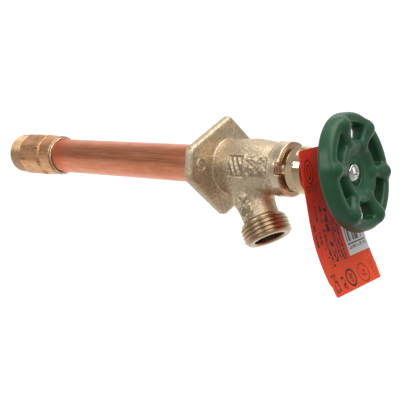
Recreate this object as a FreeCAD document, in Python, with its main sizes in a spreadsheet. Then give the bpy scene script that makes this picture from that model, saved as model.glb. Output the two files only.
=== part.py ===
import FreeCAD, Part

import math
import os

import Sketcher

# Frost-free wall hydrant (hose bib) with a turned copper barrel and a long stem.
# Every piece is drawn along the valve axis: local x runs out of the wall towards
# the handwheel, y to the right and z up, with x = 0 on the back of the wall flange.
# The row frame has that axis along -Y, so each piece is placed with one turn.

doc = FreeCAD.newDocument("HoseBib")
Vector = FreeCAD.Vector
Rotation = FreeCAD.Rotation
Placement = FreeCAD.Placement

DRIVING_SIZES = {
    # wall flange
    "flange_thick": 5.0,
    "flange_tip": 28.5,
    "flange_half_width": 32.0,
    "flange_side": 8.5,
    "flange_round": 3.0,
    "screw_edge": 8.1,
    "screw_hole": 5.2,
    "screw_boss": 4.6,
    "screw_boss_rise": 0.9,
    # barrel of the casting
    "root_radius": 19.0,
    "barrel_radius": 16.0,
    "barrel_nose": 13.4,
    "barrel_full_at": 25.0,
    "collar_end": 50.0,
    "collar_length": 8.0,
    "collar_radius": 15.0,
    # air vent of the vacuum breaker
    "vent_groove_width": 1.8,
    "vent_groove_depth": 3.0,
    "vent_notch_width": 6.6,
    "vent_notch_depth": 2.4,
    "vent_hole_inset": 2.0,
    "vent_hole_radius": 0.9,
    # gland neck and packing
    "neck_wall": 2.7,
    "neck_length": 8.5,
    "packing_floor": 2.0,
    "packing_width": 2.84,
    "washer_thick": 1.4,
    "packing_length": 3.6,
    "follower_length": 3.0,
    # hexagonal packing nut
    "nut_wall": 1.4,
    "nut_gap": 1.8,
    "nut_length": 10.2,
    "nut_bevel": 2.6,
    "nut_turn": 12.0,
    # spout
    "spout_at": 14.0,
    "spout_angle": 60.0,
    "spout_length": 44.6,
    "spout_neck": 10.3,
    "spout_flare": 12.6,
    "spout_bore": 8.6,
    "spout_waterway": 7.6,
    "spout_counterbore": 15.0,
    "hose_thread": 13.49,
    "hose_pitch": 2.209,
    "hose_thread_depth": 1.25,
    # copper barrel
    "copper_diameter": 22.225,
    "copper_wall": 1.143,
    "copper_exposed": 141.6,
    "socket_depth": 11.0,
    "solder_gap": 0.08,
    "solder_leg": 1.3,
    # inlet fitting
    "cup_wall": 2.0,
    "cup_length": 11.6,
    "fitting_across": 26.9,
    "wrench_length": 19.4,
    "inlet_thread": 13.335,
    "inlet_pitch": 1.814,
    "inlet_thread_depth": 0.9,
    "inlet_relief": 1.2,
    "inlet_thread_count": 6.0,
    "inlet_socket": 7.99,
    "inlet_socket_depth": 13.0,
    "seat_depth": 23.0,
    "seat_lip_width": 1.3,
    "seat_lip_inset": 0.7,
    "seat_lip_rise": 1.5,
    # seat washer and its holder
    "seat_washer_inset": 1.97,
    "seat_washer_thick": 3.2,
    "holder_lip": 0.9,
    "holder_body": 6.2,
    "holder_length": 15.4,
    "holder_disc": 3.0,
    "fin_gap": 0.27,
    "fin_thick": 2.0,
    "journal_radius": 3.5,
    "clip_radius": 4.6,
    "clip_thick": 0.75,
    "washer_plate_share": 0.72,
    "washer_screw_share": 0.53,
    "washer_screw_shank": 1.9,
    # stem
    "stem_radius": 4.76,
    "stem_wall": 0.9,
    "spigot_length": 10.0,
    "thread_height": 1.24,
    "shoulder_reach": 28.0,
    "broach_share": 1.4,
    "broach_length": 6.4,
    "pin_radius": 1.0,
    # vacuum breaker
    "float_thick": 2.0,
    "float_gap": 0.57,
    "seal_thick": 1.2,
    "ring_thick": 0.9,
    "ring_depth": 0.9,
    # handwheel
    "wheel_reach": 5.3,
    "wheel_lean": 11.5,
    "wheel_yaw": 3.6,
    "wheel_radius": 31.0,
    "rim_width": 6.6,
    "rim_depth": 8.75,
    "spoke_count": 6.0,
    "spoke_radius": 3.4,
    "knuckle_radius": 4.2,
    "hub_radius": 14.2,
    "hub_boss": 8.0,
    "hub_recess": 6.2,
    "wheel_screw_head": 4.85,
    "wheel_screw_reach": 4.5,
    "wheel_screw_head_thick": 2.6,
    # hang tag
    "tag_reach": 20.8,
    "tag_width": 44.6,
    "tag_above": 14.0,
    "tag_straight": 19.4,
    "tag_curved": 43.4,
    "tag_bend_radius": 104.0,
    "tag_thick": 0.45,
    "tag_hole_play": 2.64,
    "tag_swing": 10.6,
    "tag_pitch": 7.6,
    "label_left": 3.0,
    "label_right": 22.0,
    "label_top": 20.4,
    "label_bottom": 46.0,
    "label_thick": 0.16,
    # play between pieces that move on each other
    "running_gap": 0.05,
    "free_gap": 0.4,
}

sheet = doc.addObject("Spreadsheet::Sheet", "Sizes")
for row, (word, number) in enumerate(DRIVING_SIZES.items(), start=1):
    sheet.set("A%d" % row, word.replace("_", " "))
    sheet.set("B%d" % row, "%g" % number)
    sheet.setAlias("B%d" % row, word)
doc.recompute()


class Size:
    """A length in the document: its formula, and the value that it has now."""

    def __init__(self, formula, value):
        self.formula = formula
        self.value = value

    def combine(self, other, sign, work):
        other = as_size(other)
        formula = "(%s %s %s)" % (self.formula, sign, other.formula)
        return Size(formula, work(self.value, other.value))

    def __add__(self, other):
        return self.combine(other, "+", lambda a, b: a + b)

    def __sub__(self, other):
        return self.combine(other, "-", lambda a, b: a - b)

    def __mul__(self, other):
        return self.combine(other, "*", lambda a, b: a * b)

    def __truediv__(self, other):
        return self.combine(other, "/", lambda a, b: a / b)

    def __rsub__(self, other):
        return as_size(other) - self

    def __neg__(self):
        return as_size(0) - self

    __radd__ = __add__
    __rmul__ = __mul__


def as_size(number):
    if isinstance(number, Size):
        return number
    return Size("%.6f" % number, float(number))


def dim(word):
    """The driving size with this name."""
    return Size("Sizes." + word, float(sheet.get(word)))


PIECES = []
ALONG_AXIS = Rotation(Vector(0, 0, 1), -90)


def new_piece(label):
    """A body for one piece, turned so that its local x points out of the wall."""
    piece = doc.addObject("PartDesign::Body", label)
    piece.Label = label
    piece.Placement = Placement(Vector(0, 0, 0), ALONG_AXIS)
    PIECES.append(piece)
    return piece


def origin_plane(piece, role):
    return next(part for part in piece.Origin.OriginFeatures if part.Role == role)


def new_sketch(piece, name, role="XZ_Plane", offset=None):
    sketch = piece.newObject("Sketcher::SketchObject", name)
    sketch.AttachmentSupport = [(origin_plane(piece, role), "")]
    sketch.MapMode = "FlatFace"
    if offset is not None:
        sketch.AttachmentOffset = offset
    return sketch


def pin_down(sketch, line, end, across, up):
    """Hold one end of a line at two sizes measured from the sketch's origin."""
    for kind, size in (("DistanceX", across), ("DistanceY", up)):
        size = as_size(size)
        where = sketch.addConstraint(Sketcher.Constraint(kind, -1, 1, line, end, size.value))
        if "Sizes." in size.formula:
            sketch.setExpression("Constraints[%d]" % where, size.formula)


def draw_outline(sketch, points):
    """A closed outline of straight lines, every corner held at its two sizes."""
    first = sketch.GeometryCount
    count = len(points)
    corners = [Vector(as_size(a).value, as_size(b).value, 0) for a, b in points]
    for i in range(count):
        sketch.addGeometry(Part.LineSegment(corners[i], corners[(i + 1) % count]), False)
    for i in range(count):
        following = first + (i + 1) % count
        sketch.addConstraint(Sketcher.Constraint("Coincident", first + i, 2, following, 1))
    for i, (across, up) in enumerate(points):
        pin_down(sketch, first + i, 1, across, up)


def draw_circle(sketch, across, up, radius):
    across, up, radius = as_size(across), as_size(up), as_size(radius)
    centre = Vector(across.value, up.value, 0)
    circle = sketch.addGeometry(Part.Circle(centre, Vector(0, 0, 1), radius.value), False)
    pin_down(sketch, circle, 3, across, up)
    where = sketch.addConstraint(Sketcher.Constraint("Radius", circle, radius.value))
    sketch.setExpression("Constraints[%d]" % where, radius.formula)


def draw_regular(sketch, sides, across_flats, first_angle=0.0):
    """A regular outline by the width across its flats, its first corner at an angle."""
    corner_share = 0.5 / math.cos(math.pi / sides)
    points = []
    for i in range(sides):
        angle = math.radians(first_angle) + 2 * math.pi * i / sides
        corner = across_flats * corner_share
        points.append((corner * math.cos(angle), corner * math.sin(angle)))
    draw_outline(sketch, points)


def turn(piece, name, points, cut=False, role="XZ_Plane", offset=None):
    """Turn an outline of (along the axis, radius) points about the sketch's own axis."""
    sketch = new_sketch(piece, name + "_sketch", role, offset)
    draw_outline(sketch, points)
    kind = "PartDesign::Groove" if cut else "PartDesign::Revolution"
    feature = piece.newObject(kind, name)
    feature.Profile = sketch
    feature.ReferenceAxis = (sketch, ["H_Axis"])
    feature.Angle = 360
    return feature, sketch


def extrude(piece, name, sketch, length, cut=False, midplane=False, backwards=False):
    kind = "PartDesign::Pocket" if cut else "PartDesign::Pad"
    feature = piece.newObject(kind, name)
    feature.Profile = sketch
    length = as_size(length)
    feature.Length = length.value
    if "Sizes." in length.formula:
        feature.setExpression("Length", length.formula)
    feature.Midplane = midplane
    feature.Reversed = backwards
    return feature


def shift(sketch, along):
    """Move a sketch along its own normal by a size."""
    along = as_size(along)
    sketch.AttachmentOffset = Placement(Vector(0, 0, along.value), Rotation())
    if "Sizes." in along.formula:
        sketch.setExpression("AttachmentOffset.Base.z", along.formula)


def around(piece, feature, copies):
    """Repeat a feature about the piece's x axis."""
    pattern = piece.newObject("PartDesign::PolarPattern", feature.Name + "_ring")
    pattern.Originals = [feature]
    axis = next(part for part in piece.Origin.OriginFeatures if part.Role == "X_Axis")
    pattern.Axis = (axis, [""])
    pattern.Angle = 360
    pattern.Occurrences = int(round(copies))
    piece.Tip = pattern
    return pattern


def tube_outline(start, end, inner, outer):
    return [(start, inner), (end, inner), (end, outer), (start, outer)]


def threaded_outline(start, pitch, crest, depth, count):
    """Crests and roots of a ring thread that runs from a start, as (along, radius) points."""
    points = []
    for i in range(count):
        left = start + pitch * i
        points.append((left, crest - depth))
        points.append((left + pitch * 0.36, crest))
        points.append((left + pitch * 0.64, crest))
    points.append((start + pitch * count, crest - depth))
    return points


# radii that follow the copper tube and the stem
copper_radius = dim("copper_diameter") / 2
copper_bore = copper_radius - dim("copper_wall")
socket_radius = copper_radius + dim("solder_gap")
cup_radius = copper_radius + dim("cup_wall")
chamber_radius = copper_bore
float_radius = chamber_radius - dim("float_gap")
seat_washer_radius = copper_bore - dim("seat_washer_inset")
holder_rim = seat_washer_radius + dim("holder_lip")
fin_radius = copper_bore - dim("fin_gap")
seat_lip_outer = seat_washer_radius - dim("seat_lip_inset")
seat_orifice = seat_lip_outer - dim("seat_lip_width")
stem_radius = dim("stem_radius")
stem_bore = stem_radius - dim("stem_wall")
stem_thread = stem_radius + dim("thread_height")
broach_across = stem_radius * dim("broach_share")
packing_box = stem_radius + dim("packing_width")
neck_radius = packing_box + dim("neck_wall")
nut_across = (neck_radius + dim("nut_wall")) * 2
vent_groove_outer = neck_radius + dim("vent_groove_width")
vent_hole_centre = stem_thread + dim("vent_hole_inset")
hole_radius = dim("screw_hole") / 2
hole_reach = dim("flange_half_width") - dim("screw_edge")

# places along the axis, from the wall towards the inlet
cup_rim = -dim("copper_exposed")
cup_floor = cup_rim - dim("socket_depth")
seat_face = cup_rim - dim("seat_depth")
seat_lip = seat_face + dim("seat_lip_rise")
wrench_start = cup_rim - dim("cup_length")
wrench_end = wrench_start - dim("wrench_length")
inlet_thread_end = wrench_end - dim("inlet_relief") - dim("inlet_pitch") * dim("inlet_thread_count")
inlet_end = inlet_thread_end - 0.8
washer_back = seat_lip + 0.02
washer_front = washer_back + dim("seat_washer_thick")
holder_end = washer_front + dim("holder_length")
rear_shoulder = holder_end + 0.3

# places along the axis, from the wall towards the handwheel
collar_end = dim("collar_end")
collar_start = collar_end - dim("collar_length")
chamber_end = collar_start - 6.0
thread_bore_end = collar_end + dim("packing_floor")
neck_end = collar_end + dim("neck_length")
nut_start = collar_end + dim("nut_gap")
nut_end = nut_start + dim("nut_length")
stem_tube_end = chamber_end - 2.0
float_at = chamber_end - 5.6
tag_at = collar_end + dim("tag_reach")
stem_shoulder = collar_end + dim("shoulder_reach")
broach_end = stem_shoulder + dim("broach_length")
wheel_at = stem_shoulder + dim("wheel_reach")
wheel_screw_face = broach_end + dim("wheel_screw_reach")


# --- casting: wall flange, barrel, gland neck and hose spout in one piece ---
def make_valve_body():
    body = new_piece("valve_body")
    flange = new_sketch(body, "flange_sketch", "YZ_Plane")
    wide, side, tip = dim("flange_half_width"), dim("flange_side"), dim("flange_tip")
    draw_outline(flange, [(wide, -side), (wide, side), (0, tip), (-wide, side), (-wide, -side), (0, -tip)])
    plate = extrude(body, "flange", flange, dim("flange_thick"))
    doc.recompute()
    upright = [
        "Edge%d" % (i + 1)
        for i, edge in enumerate(plate.Shape.Edges)
        if abs(edge.BoundBox.XLength - dim("flange_thick").value) < 1e-6
    ]
    corners = body.newObject("PartDesign::Fillet", "flange_corners")
    corners.Base = (plate, upright)
    corners.Radius = dim("flange_round").value
    corners.setExpression("Radius", dim("flange_round").formula)

    pads = new_sketch(body, "screw_boss_sketch", "YZ_Plane")
    shift(pads, dim("flange_thick") - 0.5)
    for sign in (-1, 1):
        draw_circle(pads, hole_reach * sign, 0, dim("screw_boss"))
    extrude(body, "screw_bosses", pads, dim("screw_boss_rise") + 0.5)

    root = dim("flange_thick") - 0.5
    full_at = dim("barrel_full_at")
    taper = collar_start - full_at
    barrel, nose = dim("barrel_radius"), dim("barrel_nose")
    rise = dim("collar_radius") - 1.0
    outer = [
        (root, 0),
        (root, dim("root_radius")),
        (dim("flange_thick") + 1.5, barrel),
        (dim("flange_thick") + 5.0, barrel - 1.2),
        (full_at - 5.0, barrel - 0.3),
        (full_at, barrel),
        (full_at + taper * 0.35, barrel - 0.5),
        (full_at + taper * 0.7, (barrel + nose) / 2),
        (collar_start - 0.8, nose),
        (collar_start, rise),
        (collar_start + 1.0, dim("collar_radius")),
        (collar_end - 0.8, dim("collar_radius")),
        (collar_end, rise + 0.2),
        (collar_end, vent_groove_outer),
        (collar_end - dim("vent_groove_depth"), vent_groove_outer),
        (collar_end - dim("vent_groove_depth"), neck_radius),
        (neck_end - 0.6, neck_radius),
        (neck_end, neck_radius - 0.6),
        (neck_end, 0),
    ]
    turn(body, "barrel", outer)

    # spout: its axis leaves the barrel's axis downwards and outwards
    length, crest, depth = dim("spout_length"), dim("hose_thread"), dim("hose_thread_depth")
    ridges = 5
    thread_start = length - 1.2 - dim("hose_pitch") * ridges
    spout = [(0, 0), (0, dim("spout_flare")), (17.0, dim("spout_flare")), (25.0, dim("spout_neck"))]
    spout.append((thread_start - 1.2, dim("spout_neck")))
    spout += threaded_outline(thread_start, dim("hose_pitch"), crest, depth, ridges)
    spout += [(length, crest - depth - 0.3), (length, 0)]
    _, spout_sketch = turn(body, "spout", spout)
    aim_spout(spout_sketch)

    # waterways
    way = [
        (0, 0),
        (0, dim("spout_waterway")),
        (length - dim("spout_counterbore"), dim("spout_waterway")),
        (length - dim("spout_counterbore"), dim("spout_bore")),
        (length + 1, dim("spout_bore")),
        (length + 1, 0),
    ]
    _, way_sketch = turn(body, "spout_waterway_cut", way, cut=True)
    aim_spout(way_sketch)
    solder = dim("solder_leg")
    bore = [
        (-1, 0),
        (-1, socket_radius + solder + 1),
        (solder, socket_radius),
        (dim("socket_depth"), socket_radius),
        (dim("socket_depth"), chamber_radius),
        (chamber_end, chamber_radius),
        (chamber_end, stem_thread + dim("running_gap")),
        (thread_bore_end, stem_thread + dim("running_gap")),
        (thread_bore_end, packing_box),
        (neck_end + 1, packing_box),
        (neck_end + 1, 0),
    ]
    turn(body, "main_bore", bore, cut=True)
    retainer_end = float_at - 0.2
    ring_outer = chamber_radius + dim("ring_depth")
    groove_start = retainer_end - dim("ring_thick") - 0.1
    groove = tube_outline(groove_start, retainer_end, chamber_radius - 2.0, ring_outer)
    turn(body, "retainer_groove", groove, cut=True)
    # air vents: a notch on each side of the collar, fed by a drilled hole
    notch = new_sketch(body, "vent_notch_sketch", "XY_Plane")
    notch_floor = collar_end - dim("vent_notch_depth")
    inside = vent_hole_centre + 0.4
    outside = dim("collar_radius") + 1
    for sign in (-1, 1):
        near, far = inside * sign, outside * sign
        draw_outline(notch, [(notch_floor, near), (collar_end, near), (collar_end, far), (notch_floor, far)])
    extrude(body, "vent_notches", notch, dim("vent_notch_width"), cut=True, midplane=True)
    vents = new_sketch(body, "vent_hole_sketch", "YZ_Plane")
    shift(vents, notch_floor + 0.5)
    for sign in (-1, 1):
        draw_circle(vents, vent_hole_centre * sign, 0, dim("vent_hole_radius"))
    extrude(body, "vent_holes", vents, notch_floor + 1.0 - chamber_end, cut=True)

    holes = new_sketch(body, "screw_hole_sketch", "YZ_Plane")
    shift(holes, dim("flange_thick") + dim("screw_boss_rise") + 1)
    for sign in (-1, 1):
        draw_circle(holes, hole_reach * sign, 0, hole_radius)
    extrude(body, "screw_holes", holes, dim("flange_thick") + dim("screw_boss_rise") + 2, cut=True)


def aim_spout(sketch):
    """Start a sketch's axis where the spout leaves the valve axis, and point it down the spout."""
    turn_down = Rotation(Vector(0, 0, 1), -dim("spout_angle").value)
    sketch.AttachmentOffset = Placement(Vector(dim("spout_at").value, 0, 0), turn_down)
    sketch.setExpression("AttachmentOffset.Base.x", dim("spout_at").formula)
    sketch.setExpression("AttachmentOffset.Rotation.Angle", "-%s" % dim("spout_angle").formula)


# --- copper barrel and its two solder joints ---
def make_copper():
    barrel = new_piece("barrel_tube")
    turn(barrel, "tube", tube_outline(cup_floor, dim("socket_depth"), copper_bore, copper_radius))
    leg = dim("solder_leg")
    inlet_solder = new_piece("inlet_solder")
    turn(inlet_solder, "fillet", [
        (cup_rim, copper_radius),
        (cup_rim + leg, copper_radius),
        (cup_rim + leg * 0.35, copper_radius + leg * 0.4),
        (cup_rim, copper_radius + leg),
    ])
    flange_solder = new_piece("flange_solder")
    turn(flange_solder, "ring", [(0, copper_radius), (leg, copper_radius), (0, copper_radius + leg)])


# --- inlet fitting: solder cup, wrench flats, pipe thread and the valve seat inside ---
def make_inlet_fitting():
    fitting = new_piece("inlet_fitting")
    flats = new_sketch(fitting, "wrench_flats_sketch", "YZ_Plane")
    shift(flats, wrench_end)
    draw_regular(flats, 8, dim("fitting_across"), 22.5)
    extrude(fitting, "wrench_flats", flats, dim("wrench_length"))
    cup = cup_radius
    turn(fitting, "cup", [
        (cup_rim, 0),
        (cup_rim, cup - 0.9),
        (cup_rim - 0.9, cup),
        (wrench_start - 0.5, cup),
        (wrench_start - 0.5, 0),
    ])
    crest, depth = dim("inlet_thread"), dim("inlet_thread_depth")
    count = int(round(dim("inlet_thread_count").value))
    thread = [(wrench_end + 0.5, 0), (wrench_end + 0.5, crest - depth)]
    ridges = threaded_outline(inlet_thread_end, dim("inlet_pitch"), crest, depth, count)
    thread += list(reversed(ridges))
    thread += [(inlet_end, crest - depth - 0.3), (inlet_end, 0)]
    turn(fitting, "pipe_thread", thread)
    bevel_reach = dim("fitting_across") / 2
    for name, face, inward in (("bevel_cup", wrench_start, -1), ("bevel_thread", wrench_end, 1)):
        turn(fitting, name, [
            (face - 0.01 * inward, bevel_reach),
            (face - 0.01 * inward, bevel_reach + 4),
            (face + 2.4 * inward, bevel_reach + 4),
            (face + 0.9 * inward, bevel_reach + 0.65),
        ], cut=True)
    lip = seat_lip_outer
    turn(fitting, "waterway", [
        (cup_rim + 1, 0),
        (cup_rim + 1, socket_radius),
        (cup_floor, socket_radius),
        (cup_floor, chamber_radius),
        (seat_face, chamber_radius),
        (seat_face, lip),
        (seat_lip, lip - 0.4),
        (seat_lip, seat_orifice),
        (inlet_end + dim("inlet_socket_depth"), seat_orifice),
        (inlet_end + dim("inlet_socket_depth"), dim("inlet_socket")),
        (inlet_end - 1, dim("inlet_socket")),
        (inlet_end - 1, 0),
    ], cut=True)


# --- seat washer, its holder and the screw that keeps it on ---
def make_seat_disc():
    rubber = seat_washer_radius
    shank = dim("washer_screw_shank")
    washer = new_piece("seat_washer")
    turn(washer, "rubber", [
        (washer_back, shank + 0.1),
        (washer_front, shank + 0.1),
        (washer_front, rubber),
        (washer_back + 0.4, rubber),
        (washer_back, rubber - 0.4),
    ])
    head = seat_orifice * dim("washer_screw_share")
    head_face = washer_back - 0.8
    plate = new_piece("washer_plate")
    plate_radius = seat_orifice * dim("washer_plate_share")
    turn(plate, "plate", tube_outline(head_face, washer_back, shank + 0.1, plate_radius))

    holder = new_piece("washer_holder")
    body, bore = dim("holder_body"), dim("journal_radius") + dim("running_gap")
    disc_end = washer_front + dim("holder_disc")
    cavity_end = holder_end - 3.4
    cavity_start = cavity_end - 2.6
    turn(holder, "body", [
        (washer_front - 1.8, rubber + 0.1),
        (washer_front, rubber + 0.1),
        (washer_front, 0),
        (holder_end, 0),
        (holder_end, body - 0.5),
        (holder_end - 0.5, body),
        (disc_end + 1.0, body),
        (disc_end, holder_rim),
        (washer_front - 1.8, holder_rim),
    ])
    fins = new_sketch(holder, "fin_sketch", "YZ_Plane")
    shift(fins, disc_end - 0.5)
    half = dim("fin_thick") / 2
    draw_outline(fins, [(-half, 5.0), (half, 5.0), (half, fin_radius), (-half, fin_radius)])
    fin = extrude(holder, "fin", fins, holder_end - disc_end - 0.5)
    around(holder, fin, 4)
    turn(holder, "swivel_bore", [
        (cavity_start, 0),
        (cavity_start, dim("clip_radius") + dim("free_gap")),
        (cavity_end, dim("clip_radius") + dim("free_gap")),
        (cavity_end, bore),
        (holder_end + 1, bore),
        (holder_end + 1, 0),
    ], cut=True)
    turn(holder, "screw_bore", [
        (washer_front - 1, 0),
        (washer_front - 1, shank),
        (cavity_start - 1.0, shank),
        (cavity_start - 1.0, 0),
    ], cut=True)

    screw = new_piece("washer_screw")
    turn(screw, "screw", [
        (head_face - 2.0, 0),
        (head_face - 2.0, head - 0.8),
        (head_face - 1.2, head),
        (head_face, head),
        (head_face, shank),
        (cavity_start - 2.0, shank),
        (cavity_start - 2.0, 0),
    ])
    slot = new_sketch(screw, "slot_sketch", "XY_Plane")
    draw_outline(slot, [
        (head_face - 2.1, -head - 1),
        (head_face - 1.1, -head - 1),
        (head_face - 1.1, head + 1),
        (head_face - 2.1, head + 1),
    ])
    extrude(screw, "driver_slot", slot, 0.9, cut=True, midplane=True)
    return cavity_start, cavity_end


# --- stem: rear shank, long tube and threaded spindle, pinned together ---
def make_stem(cavity_start, cavity_end):
    spigot = stem_bore - 0.01
    thread_start, thread_end = chamber_end + 1.0, collar_end - 5.0
    rear_tube = rear_shoulder + 7.0
    journal = dim("journal_radius")
    clip_front = cavity_end - 0.9
    clip_back = clip_front - dim("clip_thick")
    shank = new_piece("rear_shank")
    turn(shank, "shank", [
        (cavity_start + 0.4, 0),
        (cavity_start + 0.4, journal),
        (clip_back, journal),
        (clip_back, journal - 1),
        (clip_front, journal - 1),
        (clip_front, journal),
        (rear_shoulder, journal),
        (rear_shoulder, stem_radius),
        (rear_tube, stem_radius),
        (rear_tube, spigot),
        (rear_tube + dim("spigot_length"), spigot),
        (rear_tube + dim("spigot_length"), 0),
    ])
    clip = new_piece("swivel_clip")
    turn(clip, "clip", tube_outline(clip_back, clip_front, journal - 1, dim("clip_radius")))

    tube = new_piece("stem_tube")
    turn(tube, "tube", tube_outline(rear_tube, stem_tube_end, stem_bore, stem_radius))
    spindle = new_piece("spindle")
    stem, thread = stem_radius, stem_thread
    turn(spindle, "spindle", [
        (stem_tube_end - dim("spigot_length"), 0),
        (stem_tube_end - dim("spigot_length"), spigot),
        (stem_tube_end, spigot),
        (stem_tube_end, stem),
        (thread_start, stem),
        (thread_start + 0.6, thread),
        (thread_end - 0.6, thread),
        (thread_end, stem),
        (stem_shoulder, stem),
        (stem_shoulder, 0),
    ])
    square = new_sketch(spindle, "broach_sketch", "YZ_Plane")
    shift(square, stem_shoulder - 0.5)
    draw_regular(square, 4, broach_across, 45)
    extrude(spindle, "broach", square, broach_end - stem_shoulder + 0.5)
    tapped = dim("washer_screw_shank")
    turn(spindle, "tapped_hole", [
        (broach_end - 9.0, 0),
        (broach_end - 9.0, tapped),
        (broach_end + 1, tapped),
        (broach_end + 1, 0),
    ], cut=True)

    # one cross pin at each end of the tube holds it to its spigot
    rear_pin = rear_tube + dim("spigot_length") / 2
    front_pin = stem_tube_end - dim("spigot_length") / 2
    for piece, places in ((shank, [rear_pin]), (tube, [rear_pin, front_pin]), (spindle, [front_pin])):
        drilled = new_sketch(piece, piece.Name + "_pin_sketch", "XY_Plane")
        for place in places:
            draw_circle(drilled, place, 0, dim("pin_radius") + 0.01)
        extrude(piece, piece.Name + "_pin_hole", drilled, stem * 3, cut=True, midplane=True)
    pins = new_piece("cross_pins")
    pins.AllowCompound = True
    sketch = new_sketch(pins, "pins_sketch", "XY_Plane")
    for place in (rear_pin, front_pin):
        draw_circle(sketch, place, 0, dim("pin_radius"))
    extrude(pins, "pins", sketch, stem * 2 - 0.5, midplane=True)


# --- vacuum breaker: a float with a soft seal that closes the air vents under pressure ---
def make_vacuum_breaker():
    start = float_at
    inner = stem_radius + dim("free_gap")
    outer = float_radius
    seal_start = start + dim("float_thick")
    retainer_end = start - 0.2 - 0.05
    ring_outer = chamber_radius + dim("ring_depth") - 0.1
    retainer = new_piece("breaker_retainer")
    ring_start = retainer_end - dim("ring_thick")
    turn(retainer, "ring", tube_outline(ring_start, retainer_end, chamber_radius - 1.4, ring_outer))
    slider = new_piece("breaker_float")
    turn(slider, "float", [
        (start, inner),
        (seal_start, inner),
        (seal_start, outer),
        (start + 0.5, outer),
        (start, outer - 0.5),
    ])
    seal = new_piece("breaker_seal")
    turn(seal, "seal", tube_outline(seal_start, seal_start + dim("seal_thick"), inner, outer))


# --- gland: washer, packing and follower inside the neck, squeezed by the nut ---
def make_gland():
    bore = stem_radius + dim("running_gap")
    outer = packing_box - 0.05
    washer_end = thread_bore_end + dim("washer_thick")
    packing_end = washer_end + dim("packing_length")
    follower_end = packing_end + dim("follower_length")
    washer = new_piece("packing_washer")
    turn(washer, "washer", tube_outline(thread_bore_end, washer_end, bore + 0.1, outer))
    packing = new_piece("stem_packing")
    turn(packing, "packing", tube_outline(washer_end, packing_end, bore, outer))
    follower = new_piece("gland_follower")
    turn(follower, "follower", [
        (packing_end, bore),
        (follower_end, bore),
        (follower_end, outer - 0.4),
        (follower_end - 0.4, outer),
        (packing_end, outer),
    ])

    nut = new_piece("packing_nut")
    start, end, across = nut_start, nut_end, nut_across
    hexagon = new_sketch(nut, "hexagon_sketch", "YZ_Plane")
    shift(hexagon, start)
    draw_regular(hexagon, 6, across, 180 - dim("nut_turn").value)
    extrude(nut, "hexagon", hexagon, end - start)
    corner = across / 2 / math.cos(math.pi / 6)
    rear, front = dim("nut_bevel"), dim("nut_bevel") * 0.5
    turn(nut, "rear_bevel", [
        (start - 0.01, across / 2),
        (start + rear, corner + 0.01),
        (start + rear, corner + 2),
        (start - 0.01, corner + 2),
    ], cut=True)
    turn(nut, "front_bevel", [
        (end + 0.01, across / 2 - 0.6),
        (end + 0.01, corner + 2),
        (end - front, corner + 2),
        (end - front, corner + 0.01),
    ], cut=True)
    face = follower_end
    turn(nut, "nut_bore", [
        (start - 1, 0),
        (start - 1, neck_radius + dim("running_gap")),
        (face, neck_radius + dim("running_gap")),
        (face, bore + 0.1),
        (end + 1, bore + 0.1),
        (end + 1, 0),
    ], cut=True)


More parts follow.
